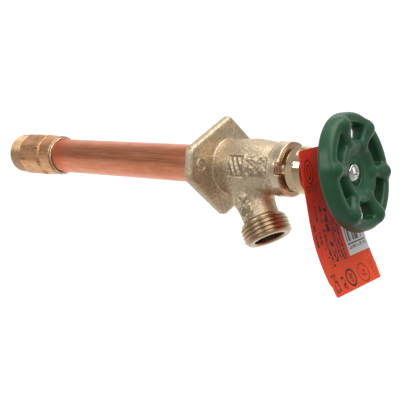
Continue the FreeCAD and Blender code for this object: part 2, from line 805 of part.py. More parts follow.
# --- handwheel: leans a little off square, while its socket stays true to the stem ---
def make_handwheel():
    lean = Rotation(Vector(0, 1, 0), -dim("wheel_lean").value)
    yaw = Rotation(Vector(0, 0, 1), dim("wheel_yaw").value)
    pose = yaw.multiply(lean)
    wheel = new_piece("handwheel")
    centre = ALONG_AXIS.multVec(Vector(wheel_at.value, 0, 0))
    wheel.Placement = Placement(centre, ALONG_AXIS.multiply(pose))
    hub, boss = dim("hub_radius"), dim("hub_boss")
    turn(wheel, "hub", [
        (1.6, 0),
        (0.6, boss),
        (1.4, hub - 2.2),
        (3.0, hub),
        (6.2, hub),
        (7.0, hub - 1.2),
        (6.2, hub - 3.4),
        (5.2, hub - 6.0),
        (5.0, 0),
    ])
    knuckle, rod = dim("knuckle_radius"), dim("spoke_radius")
    radius, width = dim("wheel_radius"), dim("rim_width")
    rising = Placement(Vector(2.4, 0, 0), Rotation(Vector(0, 0, 1), 81))
    spoke, _ = turn(wheel, "spoke", [
        (hub - 4.0, 0),
        (hub - 4.0, rod),
        (radius - width - 3.5, rod),
        (radius - width, knuckle),
        (radius - 3.5, knuckle),
        (radius - 1.4, knuckle - 1.6),
        (radius - 0.4, 0),
    ], role="XY_Plane", offset=rising)
    around(wheel, spoke, dim("spoke_count").value)
    depth = dim("rim_depth")
    turn(wheel, "rim", [
        (0.8, radius - width + 0.4),
        (0, radius - width + 1.2),
        (0, radius - 0.8),
        (0.8, radius),
        (depth - 2.4, radius - 0.6),
        (depth - 0.8, radius - 1.8),
        (depth, radius - 3.4),
        (depth - 0.6, radius - width + 0.9),
        (depth - 1.8, radius - width),
    ])
    true_to_stem = Rotation(pose).inverted()
    back = stem_shoulder - wheel_at
    seat = wheel_screw_face - dim("wheel_screw_head_thick") - wheel_at
    socket_end = broach_end + 0.4 - wheel_at

    def trued(name, role, along=0.0):
        plane_turn = plane_frame(role)
        local = plane_turn.inverted().multiply(true_to_stem).multiply(plane_turn)
        offset = Placement(local.multVec(Vector(0, 0, along)), local)
        return new_sketch(wheel, name, role, offset)

    boss_sketch = trued("boss_sketch", "XZ_Plane")
    foot = back + 0.02
    draw_outline(boss_sketch, [(foot, 0), (foot, boss - 0.5), (foot + 0.5, boss), (3.0, boss), (3.0, 0)])
    finish_turn(wheel, "boss", boss_sketch, cut=False)
    recess_sketch = trued("recess_sketch", "XZ_Plane")
    recess = dim("hub_recess")
    draw_outline(recess_sketch, [(seat, 0), (seat, recess), (9.0, recess + 0.3), (9.0, 0)])
    finish_turn(wheel, "recess", recess_sketch, cut=True)
    clearance = trued("screw_clearance_sketch", "XZ_Plane")
    free = dim("washer_screw_shank") + dim("free_gap")
    draw_outline(clearance, [(0, 0), (0, free), (seat + 1, free), (seat + 1, 0)])
    finish_turn(wheel, "screw_clearance", clearance, cut=True)
    socket = trued("socket_sketch", "YZ_Plane", back.value - 1.0)
    draw_regular(socket, 4, broach_across + dim("running_gap") * 2, 45)
    extrude(wheel, "socket", socket, socket_end - back + 1.0, cut=True, backwards=True)

    screw = new_piece("wheel_screw")
    head, thick = dim("wheel_screw_head"), dim("wheel_screw_head_thick")
    face = wheel_screw_face
    shank = dim("washer_screw_shank") - 0.02
    turn(screw, "screw", [
        (broach_end - 7.5, 0),
        (broach_end - 7.5, shank),
        (face - thick, shank),
        (face - thick, head),
        (face - thick * 0.5, head),
        (face - thick * 0.12, head * 0.66),
        (face, head * 0.3),
        (face, 0),
    ])
    cross = new_sketch(screw, "cross_sketch", "YZ_Plane")
    shift(cross, face + 0.5)
    arm, half = head * 0.46, head * 0.14
    draw_outline(cross, [
        (arm, -half), (arm, half), (half, half), (half, arm), (-half, arm), (-half, half),
        (-arm, half), (-arm, -half), (-half, -half), (-half, -arm), (half, -arm), (half, -half),
    ])
    extrude(screw, "driver_cross", cross, 2.1, cut=True)


def plane_frame(role):
    """How a sketch on one of a body's origin planes is turned in that body."""
    if role == "XZ_Plane":
        return Rotation(Vector(1, 0, 0), 90)
    return Rotation(Vector(0.57735, 0.57735, 0.57735), 120)


def finish_turn(piece, name, sketch, cut):
    feature = piece.newObject("PartDesign::Groove" if cut else "PartDesign::Revolution", name)
    feature.Profile = sketch
    feature.ReferenceAxis = (sketch, ["H_Axis"])
    feature.Angle = 360


# --- hang tag: a card that hangs on the stem and curls outwards towards its foot ---
def make_tag():
    straight, bend = dim("tag_straight").value, dim("tag_bend_radius").value
    above, curved = dim("tag_above").value, dim("tag_curved").value
    thick, width = dim("tag_thick").value, dim("tag_width").value

    def at(down, out):
        """A point of the side view: down the card from its hole, and out from its back."""
        if down <= straight:
            return Vector(out, 0, -down)
        angle = (down - straight) / bend
        reach = bend - out
        return Vector(bend - reach * math.cos(angle), 0, -straight - reach * math.sin(angle))

    def strip(top, bottom, left, right, near, far):
        """A strip of the card between two depths, as one closed solid."""
        def side(offset):
            edges = []
            if top < straight:
                edges.append(Part.LineSegment(at(top, offset), at(straight, offset)).toShape())
            bend_start = max(top, straight)
            middle = (bend_start + bottom) / 2
            arc = Part.Arc(at(bend_start, offset), at(middle, offset), at(bottom, offset))
            return edges + [arc.toShape()]

        outline = side(near)
        outline.append(Part.LineSegment(at(bottom, near), at(bottom, far)).toShape())
        outline += side(far)
        outline.append(Part.LineSegment(at(top, near), at(top, far)).toShape())
        wire = Part.Wire(Part.__sortEdges__(outline))
        wire.translate(Vector(0, left, 0))
        return Part.Face(wire).extrude(Vector(0, right - left, 0))

    swing = Rotation(Vector(1, 0, 0), dim("tag_swing").value)
    pitch = Rotation(Vector(0, 1, 0), -dim("tag_pitch").value)
    hang = Placement(
        ALONG_AXIS.multVec(Vector(tag_at.value, 0, 0)),
        ALONG_AXIS.multiply(swing.multiply(pitch)),
    )
    card = strip(-above, straight + curved, -width / 2, width / 2, 0, thick)
    hole = Part.makeCylinder((stem_radius + dim("tag_hole_play")).value, 4, Vector(-2, 0, 0), Vector(1, 0, 0))
    card = card.cut(hole)
    label = strip(
        dim("label_top").value,
        dim("label_bottom").value,
        dim("label_left").value,
        dim("label_right").value,
        thick + 0.01,
        thick + 0.01 + dim("label_thick").value,
    )
    for name, solid in (("hang_tag", card), ("tag_label", label)):
        piece = doc.addObject("Part::Feature", name)
        piece.Label = name
        piece.Shape = solid
        piece.Placement = hang
        PIECES.append(piece)


make_valve_body()
make_copper()
make_inlet_fitting()
swivel_cavity = make_seat_disc()
make_stem(*swivel_cavity)
make_vacuum_breaker()
make_gland()
make_handwheel()
make_tag()
doc.recompute()

for thing in doc.Objects:
    if "Invalid" in thing.State or "Error" in thing.State:
        raise RuntimeError("%s did not compute: %s" % (thing.Label, thing.State))
os.makedirs("parts", exist_ok=True)
for piece in PIECES:
    shape = piece.Shape
    if shape.isNull() or not shape.isValid() or not shape.Solids:
        raise RuntimeError("%s has no valid solid" % piece.Label)
    shape.exportStep("parts/%s.step" % piece.Label)
    box = shape.BoundBox
    print("%-18s %2d solid %9.1f mm3  x %7.2f %7.2f  y %7.2f %7.2f  z %7.2f %7.2f" % (
        piece.Label, len(shape.Solids), shape.Volume,
        box.XMin, box.XMax, box.YMin, box.YMax, box.ZMin, box.ZMax))
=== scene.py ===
import math

import bpy
import numpy as np
from mathutils import Matrix, Vector
from mathutils.geometry import delaunay_2d_cdt


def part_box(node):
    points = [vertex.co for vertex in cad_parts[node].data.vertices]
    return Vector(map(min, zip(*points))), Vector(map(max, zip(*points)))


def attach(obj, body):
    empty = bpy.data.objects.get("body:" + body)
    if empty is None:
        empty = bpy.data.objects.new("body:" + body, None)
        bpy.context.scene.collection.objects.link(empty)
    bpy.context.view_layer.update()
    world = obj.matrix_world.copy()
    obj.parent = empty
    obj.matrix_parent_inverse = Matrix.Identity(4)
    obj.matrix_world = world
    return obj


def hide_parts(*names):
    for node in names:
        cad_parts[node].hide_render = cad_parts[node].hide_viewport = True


# Frost-free hose bib. Lengths are in millimetres in the row frame until a mesh is made;
# "out" is the distance from the wall towards the handwheel, so it is -y.

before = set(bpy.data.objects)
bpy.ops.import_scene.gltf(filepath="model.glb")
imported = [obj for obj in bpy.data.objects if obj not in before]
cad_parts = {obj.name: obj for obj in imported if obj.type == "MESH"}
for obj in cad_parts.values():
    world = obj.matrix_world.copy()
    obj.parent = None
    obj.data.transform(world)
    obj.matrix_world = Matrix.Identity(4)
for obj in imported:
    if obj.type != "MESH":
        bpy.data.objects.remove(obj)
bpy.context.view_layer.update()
MM = 0.001
# millimetres of the hang tag in one unit of its layout
CARD_SPAN = 100.0


def reach(node):
    """Where a piece starts and ends along the valve axis, measured out from the wall."""
    low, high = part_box(node)
    return -high.y / MM, -low.y / MM


# --- materials ---------------------------------------------------------------


class Wire:
    """A value or colour in a node tree; Python's operators add the Math nodes."""

    def __init__(self, tree, socket):
        self.tree = tree
        self.socket = socket

    def maths(self, operation, *values):
        return self.tree.add("ShaderNodeMath", {"operation": operation}, values)

    def __add__(self, other):
        return self.maths("ADD", self, other)

    def __sub__(self, other):
        return self.maths("SUBTRACT", self, other)

    def __rsub__(self, other):
        return self.maths("SUBTRACT", other, self)

    def __mul__(self, other):
        return self.maths("MULTIPLY", self, other)

    def __truediv__(self, other):
        return self.maths("DIVIDE", self, other)

    def __gt__(self, other):
        return self.maths("GREATER_THAN", self, other)

    def __lt__(self, other):
        return self.maths("LESS_THAN", self, other)

    def floor(self):
        return self.maths("FLOOR", self)

    def fraction(self):
        return self.maths("FRACT", self)

    def root(self):
        return self.maths("SQRT", self)

    __radd__ = __add__
    __rmul__ = __mul__


class Tree:
    """A node tree of a material or of the world."""

    def __init__(self, node_tree):
        self.node_tree = node_tree

    def add(self, kind, settings=None, values=(), out=0):
        """A node with its settings, and values or wires for its sockets; gives back one output."""
        node = self.node_tree.nodes.new(kind)
        for word, setting in (settings or {}).items():
            if word == "stops":
                ramp = node.color_ramp.elements
                while len(ramp) < len(setting):
                    ramp.new(0.5)
                for stop, (at, colour) in zip(ramp, setting):
                    stop.position = at
                    stop.color = colour
            else:
                setattr(node, word, setting)
        pairs = values.items() if isinstance(values, dict) else enumerate(values)
        for socket, value in pairs:
            if isinstance(value, Wire):
                self.link(value, node.inputs[socket])
            else:
                node.inputs[socket].default_value = value
        return Wire(self, node.outputs[out])

    def link(self, wire, socket):
        self.node_tree.links.new(wire.socket, socket)

    def first(self, kind):
        """The node of a kind that the tree came with."""
        return next(node for node in self.node_tree.nodes if node.type == kind)

    def split(self, vector):
        """The three parts of a vector as wires."""
        node = self.add("ShaderNodeSeparateXYZ", None, [vector]).socket.node
        return [Wire(self, output) for output in node.outputs]


class Paint(Tree):
    """A procedural finish, laid out in millimetres of the row frame."""

    def __init__(self, name, **sockets):
        self.material = bpy.data.materials.new(name)
        self.material.use_nodes = True
        super().__init__(self.material.node_tree)
        self.shader = self.first("BSDF_PRINCIPLED")
        for socket, value in sockets.items():
            self.shader.inputs[socket.replace("_", " ")].default_value = value
        where = self.add("ShaderNodeTexCoord", out="Object")
        values = {"Vector": where, "Scale": 1 / MM}
        self.place = self.add("ShaderNodeVectorMath", {"operation": "SCALE"}, values)

    def scaled(self, x, y, z, source=None):
        """The place, stretched by a factor on each axis."""
        values = (source or self.place, (x, y, z))
        return self.add("ShaderNodeVectorMath", {"operation": "MULTIPLY"}, values)

    def noise(self, size, detail=2.0, rough=0.5, place=None):
        """Cloudy variation from 0 to 1 with patches of about one size in millimetres."""
        values = {
            "Vector": place or self.place,
            "Scale": 1.0 / size,
            "Detail": detail,
            "Roughness": rough,
        }
        return self.add("ShaderNodeTexNoise", {"normalize": True}, values)

    def cells(self, size):
        """Distance from the middle of scattered grains, 0 at their middles."""
        values = {"Vector": self.place, "Scale": 1.0 / size}
        return self.add("ShaderNodeTexVoronoi", None, values)

    def chance(self, *spot):
        """A random number from 0 to 1 that is the same all over one whole-numbered spot."""
        spot = self.add("ShaderNodeCombineXYZ", None, spot)
        return self.add("ShaderNodeTexWhiteNoise", None, {"Vector": spot})

    def card_place(self):
        """Millimetres across and down the hang tag."""
        layout = self.add("ShaderNodeUVMap", {"uv_map": "card"})
        across, down, _ = self.split(self.scaled(CARD_SPAN, CARD_SPAN, 1.0, layout))
        return across, down

    def fade(self, value, low, high):
        """0 where a value is under low, 1 where it is over high, and smooth between."""
        values = {"Value": value, "From Min": low, "From Max": high}
        settings = {"interpolation_type": "SMOOTHSTEP"}
        return self.add("ShaderNodeMapRange", settings, values)

    def blend(self, first, second, share):
        """A colour between two others."""
        full = [c if isinstance(c, Wire) else (*c, 1.0) for c in (first, second)]
        values = {0: share, 6: full[0], 7: full[1]}
        return self.add("ShaderNodeMix", {"data_type": "RGBA"}, values, out=2)

    def relief(self, height, strength=1.0):
        """A normal from a height in millimetres."""
        values = {"Height": height, "Distance": MM, "Strength": strength}
        return self.add("ShaderNodeBump", None, values)

    def wear(self, colour=None, rough=None, normal=None, coat=None, glow=None):
        """Drive the shader by wires."""
        wires = {
            "Base Color": colour,
            "Roughness": rough,
            "Normal": normal,
            "Coat Weight": coat,
            "Emission Color": glow,
        }
        for socket, wire in wires.items():
            if wire is not None:
                self.link(wire, self.shader.inputs[socket])
        return self.material


def sand_cast_nickel(turned_from):
    """Grainy cast skin, turned smooth from the middle of the collar on, with painted shade in its
    hollows.
    """
    paint = Paint("sand cast nickel plate", Metallic=1.0)
    _, along, _ = paint.split(paint.place)
    turned = paint.fade(along * -1.0, turned_from, turned_from + 1.0)
    grain = paint.cells(0.42)
    coarse = paint.noise(0.9, 3.0, 0.6)
    cloud = paint.noise(9.0, 2.0, 0.5)
    tone = paint.blend((0.50, 0.38, 0.24), (0.80, 0.67, 0.49), paint.fade(coarse, 0.36, 0.66))
    tone = paint.blend(tone, (0.60, 0.48, 0.33), paint.fade(cloud, 0.4, 0.7) * 0.5)
    # painted shade: the hollows between the raised ribs, and the grain pits by the flange rim, are
    # painted dark brown as if in shadow
    hollow = paint.add("ShaderNodeAttribute", {"attribute_name": "hollow"}, out=2)
    tone = paint.blend(tone, (0.15, 0.095, 0.045), hollow * 0.85)
    tone = paint.blend(tone, (0.74, 0.60, 0.42), turned)
    rough = 0.41 + coarse * 0.12 + cloud * 0.06 - turned * 0.22
    height = (coarse * 0.075 - grain * 0.04) * (1.0 - turned)
    return paint.wear(tone, rough, paint.relief(height, 0.75))


def machined_nickel():
    paint = Paint("machined yellow nickel", Metallic=1.0)
    marks = paint.noise(0.25, 2.0, 0.6, paint.scaled(0.15, 1.0, 1.0))
    cloud = paint.noise(4.0, 2.0)
    tone = paint.blend((0.38, 0.265, 0.15), (0.56, 0.42, 0.27), cloud)
    rough = 0.20 + cloud * 0.14 + marks * 0.05
    return paint.wear(tone, rough, paint.relief(marks * 0.02, 0.5))


def bright_plate(name, colour, rough_base):
    paint = Paint(name, Metallic=1.0)
    cloud = paint.noise(5.0, 2.0)
    marks = paint.noise(0.5, 3.0, 0.65)
    tone = paint.blend([c * 0.93 for c in colour], colour, cloud)
    rough = rough_base + cloud * 0.05 + marks * 0.04
    return paint.wear(tone, rough, paint.relief(marks * 0.008, 0.5))


def drawn_copper(rim):
    """Satin tube, drawn lengthwise, with heat tint beside the soldered cup's rim."""
    paint = Paint("drawn copper", Metallic=1.0)
    _, along, _ = paint.split(paint.place)
    streak = paint.noise(0.7, 3.0, 0.6, paint.scaled(1.0, 0.03, 1.0))
    cloud = paint.noise(11.0, 3.0, 0.6)
    tone = paint.blend((0.62, 0.205, 0.10), (0.80, 0.335, 0.19), paint.fade(streak, 0.3, 0.7))
    tone = paint.blend(tone, (0.66, 0.22, 0.11), paint.fade(cloud, 0.42, 0.66) * 0.7)
    hot = paint.fade(along + paint.noise(6.0, 2.0) * 9.0, rim - 15.0, rim + 1.0)
    tone = paint.blend(tone, (0.72, 0.16, 0.075), hot * 0.8)
    burnt = paint.fade(along + cloud * 4.0, rim - 3.5, rim + 2.0)
    tone = paint.blend(tone, (0.48, 0.22, 0.05), burnt * 0.8)
    flux = paint.fade(paint.noise(2.6, 2.0), 0.66, 0.76) * hot
    tone = paint.blend(tone, (0.30, 0.36, 0.16), flux)
    rough = 0.20 + cloud * 0.14 + streak * 0.12 + hot * 0.08
    return paint.wear(tone, rough, paint.relief(streak * 0.03 + cloud * 0.08, 0.8))


def heated_brass():
    """Brass browned by the soldering torch, streaked along its length."""
    paint = Paint("torch browned brass", Metallic=1.0)
    streak = paint.noise(1.0, 3.0, 0.65, paint.scaled(1.0, 0.16, 1.0))
    around = paint.noise(1.1, 2.0, 0.5, paint.scaled(0.12, 1.0, 0.12))
    cloud = paint.noise(5.5, 3.0, 0.6)
    tone = paint.blend((0.48, 0.225, 0.10), (0.80, 0.47, 0.22), paint.fade(streak, 0.3, 0.7))
    tone = paint.blend(tone, (0.76, 0.38, 0.21), paint.fade(cloud, 0.45, 0.62) * 0.7)
    rough = 0.28 + cloud * 0.16 + streak * 0.10
    return paint.wear(tone, rough, paint.relief(streak * 0.04 + around * 0.03, 0.6))


def gold_brass():
    paint = Paint("turned yellow brass", Metallic=1.0)
    cloud = paint.noise(3.0, 3.0, 0.6)
    tone = paint.blend((0.48, 0.29, 0.135), (0.66, 0.43, 0.235), cloud)
    marks = paint.noise(0.3, 2.0, 0.5, paint.scaled(0.15, 1.0, 0.15))
    rough = 0.28 + cloud * 0.14
    return paint.wear(tone, rough, paint.relief(marks * 0.008, 0.5))


def soft_solder():
    paint = Paint("soft solder", Metallic=1.0)
    cloud = paint.noise(1.6, 3.0, 0.6)
    tone = paint.blend((0.62, 0.54, 0.43), (0.92, 0.86, 0.76), paint.fade(cloud, 0.35, 0.6))
    return paint.wear(tone, 0.36 + cloud * 0.25, paint.relief(cloud * 0.15, 0.6))


def green_enamel():
    """Baked enamel on a die casting: smooth, with a faint orange peel."""
    paint = Paint("green enamel", Coat_Roughness=0.2)
    peel = paint.noise(0.9, 2.0, 0.5)
    cloud = paint.noise(12.0, 3.0, 0.55)
    tone = paint.blend((0.004, 0.062, 0.018), (0.008, 0.085, 0.027), cloud)
    dust = paint.fade(paint.noise(0.45, 3.0, 0.7), 0.66, 0.8) * 0.25
    tone = paint.blend(tone, (0.06, 0.15, 0.08), dust)
    rough = 0.36 + cloud * 0.12
    return paint.wear(tone, rough, paint.relief(peel * 0.02, 0.6), cloud * 0.12)


def plain_finish(name, dark, light, size, rough, metal=0.0, bump=0.02):
    paint = Paint(name, Metallic=metal)
    cloud = paint.noise(size, 3.0, 0.6)
    tone = paint.blend(dark, light, cloud)
    return paint.wear(tone, rough + cloud * 0.12, paint.relief(cloud * bump, 0.6))


def card_lines(paint, across, down):
    """Ink of the printed card: ruled blocks and rows of filler marks, with no lettering."""

    def window(value, low, high):
        return (value > low) * (value < high)

    def row(centre, half, start, end, pitch, seed, fill):
        """A row of filler marks that runs down the card."""
        spot = paint.chance((down / pitch).floor(), ((across - centre) / (half * 0.7)).floor(), seed)
        word = paint.chance((down / (pitch * 5.0)).floor(), seed, 7.0)
        inside = window(across, centre - half, centre + half) * window(down, start, end)
        return inside * (spot > 1.0 - fill) * (word > 0.12)

    def ring(u, s, wide, tall, line):
        sideways = (across - u) / wide
        along = (down - s) / tall
        return window((sideways * sideways + along * along).root(), 1.0 - line, 1.0 + line)

    black = row(-16.3, 0.8, 11.5, 23.5, 0.6, 1.0, 0.6)
    rows = (
        (-12.2, 0.85, 15.5, 48.0, 0.7, 2.0, 0.62),
        (-8.4, 1.5, 17.5, 46.0, 1.0, 3.0, 0.70),
        (-4.9, 0.75, 21.0, 46.5, 0.7, 4.0, 0.62),
        (-2.6, 0.75, 23.0, 46.5, 0.7, 5.0, 0.62),
        (-0.3, 0.75, 27.0, 46.5, 0.7, 6.0, 0.62),
        (-19.8, 0.8, 24.5, 36.0, 0.7, 8.0, 0.55),
        (-16.4, 0.9, 28.5, 35.5, 0.8, 9.0, 0.60),
        (-14.6, 0.7, 37.5, 48.5, 0.7, 10.0, 0.50),
        (-19.3, 0.7, 51.0, 61.0, 0.7, 11.0, 0.66),
        (-17.7, 0.7, 51.0, 61.0, 0.7, 12.0, 0.66),
        (-16.1, 0.7, 51.0, 61.0, 0.7, 13.0, 0.66),
        (-11.0, 1.3, 51.5, 61.0, 1.2, 15.0, 0.62),
    )
    for line in rows:
        black = black + row(*line)
    black = black + ring(-3.6, 56.3, 3.7, 4.3, 0.14) + row(-3.6, 1.3, 53.7, 58.9, 0.6, 16.0, 0.5)
    oval = ring(-16.5, -2.6, 3.4, 6.0, 0.07) + ring(-16.5, -2.6, 1.5, 3.4, 0.14)
    slanted = (across / 1.7 + down / 5.0).fraction() > 0.66
    bars = window(down, 5.4, 7.8) * window(across, -21.0, -12.0) * slanted
    black = black + oval + bars + window(down, 4.4, 4.9) * window(across, -21.2, -11.4)
    red = ring(8.2, 56.6, 4.6, 4.9, 0.08) + row(8.2, 2.6, 53.3, 60.2, 0.9, 17.0, 0.45)
    red = red + row(17.2, 0.8, 51.5, 60.5, 0.8, 18.0, 0.5) + row(19.3, 0.5, 52.0, 60.5, 0.5, 19.0, 0.5)
    return black, red


def printed_card():
    paint = Paint("printed orange card", Coat_Weight=0.04, Coat_Roughness=0.3)
    across, down = paint.card_place()
    fibre = paint.noise(0.5, 3.0, 0.6)
    cloud = paint.noise(9.0, 2.0)
    tone = paint.blend((0.84, 0.028, 0.008), (0.90, 0.045, 0.012), cloud)
    # painted light: the card is painted brighter and more orange towards its foot, as if lit there, and
    # stays darker red near its top, as if shaded by the wheel
    tone = paint.blend(tone, (0.95, 0.080, 0.009), paint.fade(down, 20.0, 60.0))
    black, red = card_lines(paint, across, down)
    tone = paint.blend(tone, (0.42, 0.006, 0.004), paint.fade(red, 0.0, 1.0) * 0.8)
    tone = paint.blend(tone, (0.035, 0.008, 0.010), paint.fade(black, 0.0, 1.0) * 0.94)
    return paint.wear(tone, 0.46 + fibre * 0.12, paint.relief(fibre * 0.015, 0.5))


def bar_label():
    paint = Paint("white bar label", Coat_Weight=0.1)
    across, down = paint.card_place()
    inside = (across > 4.4) * (across < 20.4)
    stripes = paint.chance((across / 0.42).floor(), 3.0, 1.0) > 0.48
    bars = inside * stripes * (down > 22.0) * (down < 38.8)
    rule = inside * (down > 39.7) * (down < 40.5)
    marks = paint.chance((across / 0.55).floor(), (down / 0.6).floor(), 5.0) > 0.5
    figures = inside * marks * (down > 41.2) * (down < 42.9)
    ink = bars + rule + figures
    fibre = paint.noise(0.4, 3.0, 0.6)
    tone = paint.blend((0.80, 0.76, 0.72), (0.88, 0.86, 0.82), fibre)
    tone = paint.blend(tone, (0.05, 0.04, 0.04), paint.fade(ink, 0.0, 1.0) * 0.85)
    return paint.wear(tone, 0.42 + fibre * 0.1, paint.relief(fibre * 0.01, 0.4))


# --- shapes ------------------------------------------------------------------


def soft_min(a, b, soft):
    share = np.clip(0.5 + 0.5 * (b - a) / soft, 0.0, 1.0)
    return b + (a - b) * share - soft * share * (1.0 - share)


def soft_max(a, b, soft):
    return -soft_min(-a, -b, soft)


def between(value, low, high):
    """Negative between two values."""
    return np.maximum(low - value, value - high)


def box(x, y, z, hx, hy, hz):
    return np.maximum(np.maximum(np.abs(x) - hx, np.abs(y) - hy), np.abs(z) - hz)


def smooth_profile(points, soften):
    """A radius along an axis: straight runs between points, rounded over a short length."""
    along, radius = np.array(points, float).T
    fine = np.arange(along[0], along[-1] + 0.05, 0.05)
    line = np.interp(fine, along, radius)
    reach_of_blur = int(round(soften / 0.05))
    padded = np.pad(line, reach_of_blur, mode="edge")
    weights = np.hanning(2 * reach_of_blur + 1)
    line = np.convolve(padded, weights / weights.sum(), mode="valid")
    return lambda value: np.interp(value, fine, line)


def value_noise(points, size, seed):
    """Smooth random heights from -1 to 1 in patches of about one size."""
    table = np.random.RandomState(seed).uniform(-1.0, 1.0, 4096)
    cell = points / size
    base = np.floor(cell).astype(np.int64)
    part = cell - base
    part = part * part * (3.0 - 2.0 * part)
    total = np.zeros(len(points))
    for corner in range(8):
        step = np.array([corner & 1, corner >> 1 & 1, corner >> 2 & 1])
        mixed = (base + step) @ np.array([73856093, 19349663, 83492791])
        weight = np.prod(np.where(step == 1, part, 1.0 - part), axis=1)
        total += table[(mixed ^ (mixed >> 13)) & 4095] * weight
    return total


def slopes(field, points, width):
    """Gradient of a field at scattered points."""
    out = []
    for axis in range(3):
        nudge = np.zeros(3)
        nudge[axis] = width
        out.append((field(*(points + nudge).T) - field(*(points - nudge).T)) / (2 * width))
    return np.stack(out, axis=1)


def skin(field, low, high, step):
    """A quad mesh on the surface where a field passes from inside, negative, to outside."""
    axes = [np.arange(a - 1.5 * step, b + 2.5 * step, step) for a, b in zip(low, high)]
    start = np.array([axis[0] for axis in axes])
    grid = np.meshgrid(*axes, indexing="ij", sparse=True)
    values = np.broadcast_to(field(*grid), [len(axis) for axis in axes]).astype(np.float32)
    inside = values < 0
    corners = np.array([(i, j, k) for i in (0, 1) for j in (0, 1) for k in (0, 1)])
    size = np.array(values.shape) - 1
    count = np.zeros(size, np.int8)
    for i, j, k in corners:
        count += inside[i : i + size[0], j : j + size[1], k : k + size[2]]
    active = (count > 0) & (count < 8)
    cells = np.argwhere(active)
    number = np.full(size, -1, np.int64)
    number[active] = np.arange(len(cells))
    place = np.zeros((len(cells), 3))
    hits = np.zeros(len(cells))
    for first in corners:
        for axis in range(3):
            if first[axis]:
                continue
            second = first.copy()
            second[axis] = 1
            a = values[tuple((cells + first).T)]
            b = values[tuple((cells + second).T)]
            crosses = (a < 0) != (b < 0)
            share = np.where(crosses, a / np.where(crosses, a - b, 1.0), 0.0)
            spot = first + share[:, None] * (second - first)
            place += np.where(crosses[:, None], spot, 0.0)
            hits += crosses
    points = (cells + place / hits[:, None]) * step + start
    faces = []
    for axis in range(3):
        one, two = (axis + 1) % 3, (axis + 2) % 3
        ahead = np.zeros(3, int)
        ahead[axis] = 1
        span = tuple(slice(0, n - ahead[i]) for i, n in enumerate(values.shape))
        shifted = tuple(slice(ahead[i], n) for i, n in enumerate(values.shape))
        changed = np.argwhere(inside[span] != inside[shifted])
        changed = changed[(changed[:, one] > 0) & (changed[:, two] > 0)]
        leaving = inside[tuple(changed.T)]
        back_one, back_two = np.zeros(3, int), np.zeros(3, int)
        back_one[one] = 1
        back_two[two] = 1
        loop = [changed - back_one - back_two, changed - back_two, changed, changed - back_one]
        quad = np.stack([number[tuple(c.T)] for c in loop], axis=1)
        quad[~leaving] = quad[~leaving][:, ::-1]
        faces.append(quad)
    faces = np.concatenate(faces)
    for _ in range(2):
        slope = slopes(field, points, 0.3 * step)
        size_of_slope = np.maximum((slope**2).sum(axis=1), 0.05)
        move = -slope * (field(*points.T) / size_of_slope)[:, None]
        length = np.linalg.norm(move, axis=1)
        points += move * np.minimum(1.0, 0.6 * step / np.maximum(length, 1e-9))[:, None]
    return points, faces


def unit(vectors):
    return vectors / np.maximum(np.linalg.norm(vectors, axis=1), 1e-9)[:, None]


def mesh_piece(
    name, points, faces, body, paint, stands_for=(), smooth=True, layout=None, hollow=None
):
    """A mesh object from points in millimetres, riding on a body of the frame."""
    mesh = bpy.data.meshes.new(name)
    mesh.from_pydata((np.asarray(points) * MM).tolist(), [], [list(map(int, f)) for f in faces])
    if layout is not None:
        layer = mesh.uv_layers.new(name="card")
        flat = np.asarray(layout, float) / CARD_SPAN
        order = np.zeros(len(mesh.loops), int)
        mesh.loops.foreach_get("vertex_index", order)
        layer.data.foreach_set("uv", flat[order].ravel())
    # painted shade: a share of dark shade for each point, kept as a point attribute for the finish
    if hollow is not None:
        mesh.attributes.new("hollow", "FLOAT", "POINT").data.foreach_set("value", hollow)
    mesh.polygons.foreach_set("use_smooth", [smooth] * len(mesh.polygons))
    mesh.materials.append(paint)
    mesh.update()
    piece = bpy.data.objects.new(name, mesh)
    bpy.context.scene.collection.objects.link(piece)
    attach(piece, body)
    if stands_for:
        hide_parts(*stands_for)


def wrapped(rows, columns):
    """Quads over a grid of points that closes on itself both ways."""
    i, j = np.meshgrid(np.arange(rows), np.arange(columns), indexing="ij")
    following, around = (i + 1) % rows, (j + 1) % columns
    near, far = i * columns, following * columns
    return np.stack([c.ravel() for c in (near + j, near + around, far + around, far + j)], axis=1)


def lathe(profile, start, along, side, columns, change):
    """Points of a closed outline of (along, radius) turned round an axis, radius changed by angle."""
    profile = np.array(profile, float)
    angle = np.linspace(0, 2 * np.pi, columns, endpoint=False)
    length = np.repeat(profile[:, :1], columns, axis=1)
    radius = np.repeat(profile[:, 1:2], columns, axis=1)
    radius = change(length, radius, np.broadcast_to(angle, radius.shape))
    around = np.cos(angle)[:, None] * side + np.sin(angle)[:, None] * np.cross(along, side)
    return (start + length[..., None] * along + radius[..., None] * around).reshape(-1, 3)


# --- the casting -------------------------------------------------------------

neck_end = reach("valve_body")[1]
collar_end = neck_end - 8.5
collar_start = collar_end - 8.0
spout_at, spout_length = 14.0, 44.6
spout_lean = math.radians(60.0)
spout_way = np.array([0.0, -math.cos(spout_lean), -math.sin(spout_lean)])
flange_thick, flange_reach = 5.0, 32.0
screw_hole_at, screw_hole_radius = 23.9, 2.6
collar_radius, neck_radius = 15.0, 10.3
tube_bore, cup_bore, stem_bore, packing_bore = 9.97, 11.19, 6.05, 7.6
hose_root, hose_depth, hose_pitch = 12.24, 1.25, 2.209
pipe_root, pipe_depth, pipe_pitch = 12.835, 0.5, 1.814
barrel_radius = smooth_profile([
    (0, 15.2), (5.6, 15.2), (10, 14.9), (16, 15.4), (25, 16.0),
    (31, 15.5), (36.9, 14.6), (collar_start - 0.8, 13.5), (collar_end, 13.4),
], 1.6)
spout_radius = smooth_profile([
    (0, 12.4), (14, 12.4), (19, 12.0), (24.0, 10.7), (28.0, 10.3), (33.6, 10.3), (50, 10.3),
], 1.6)


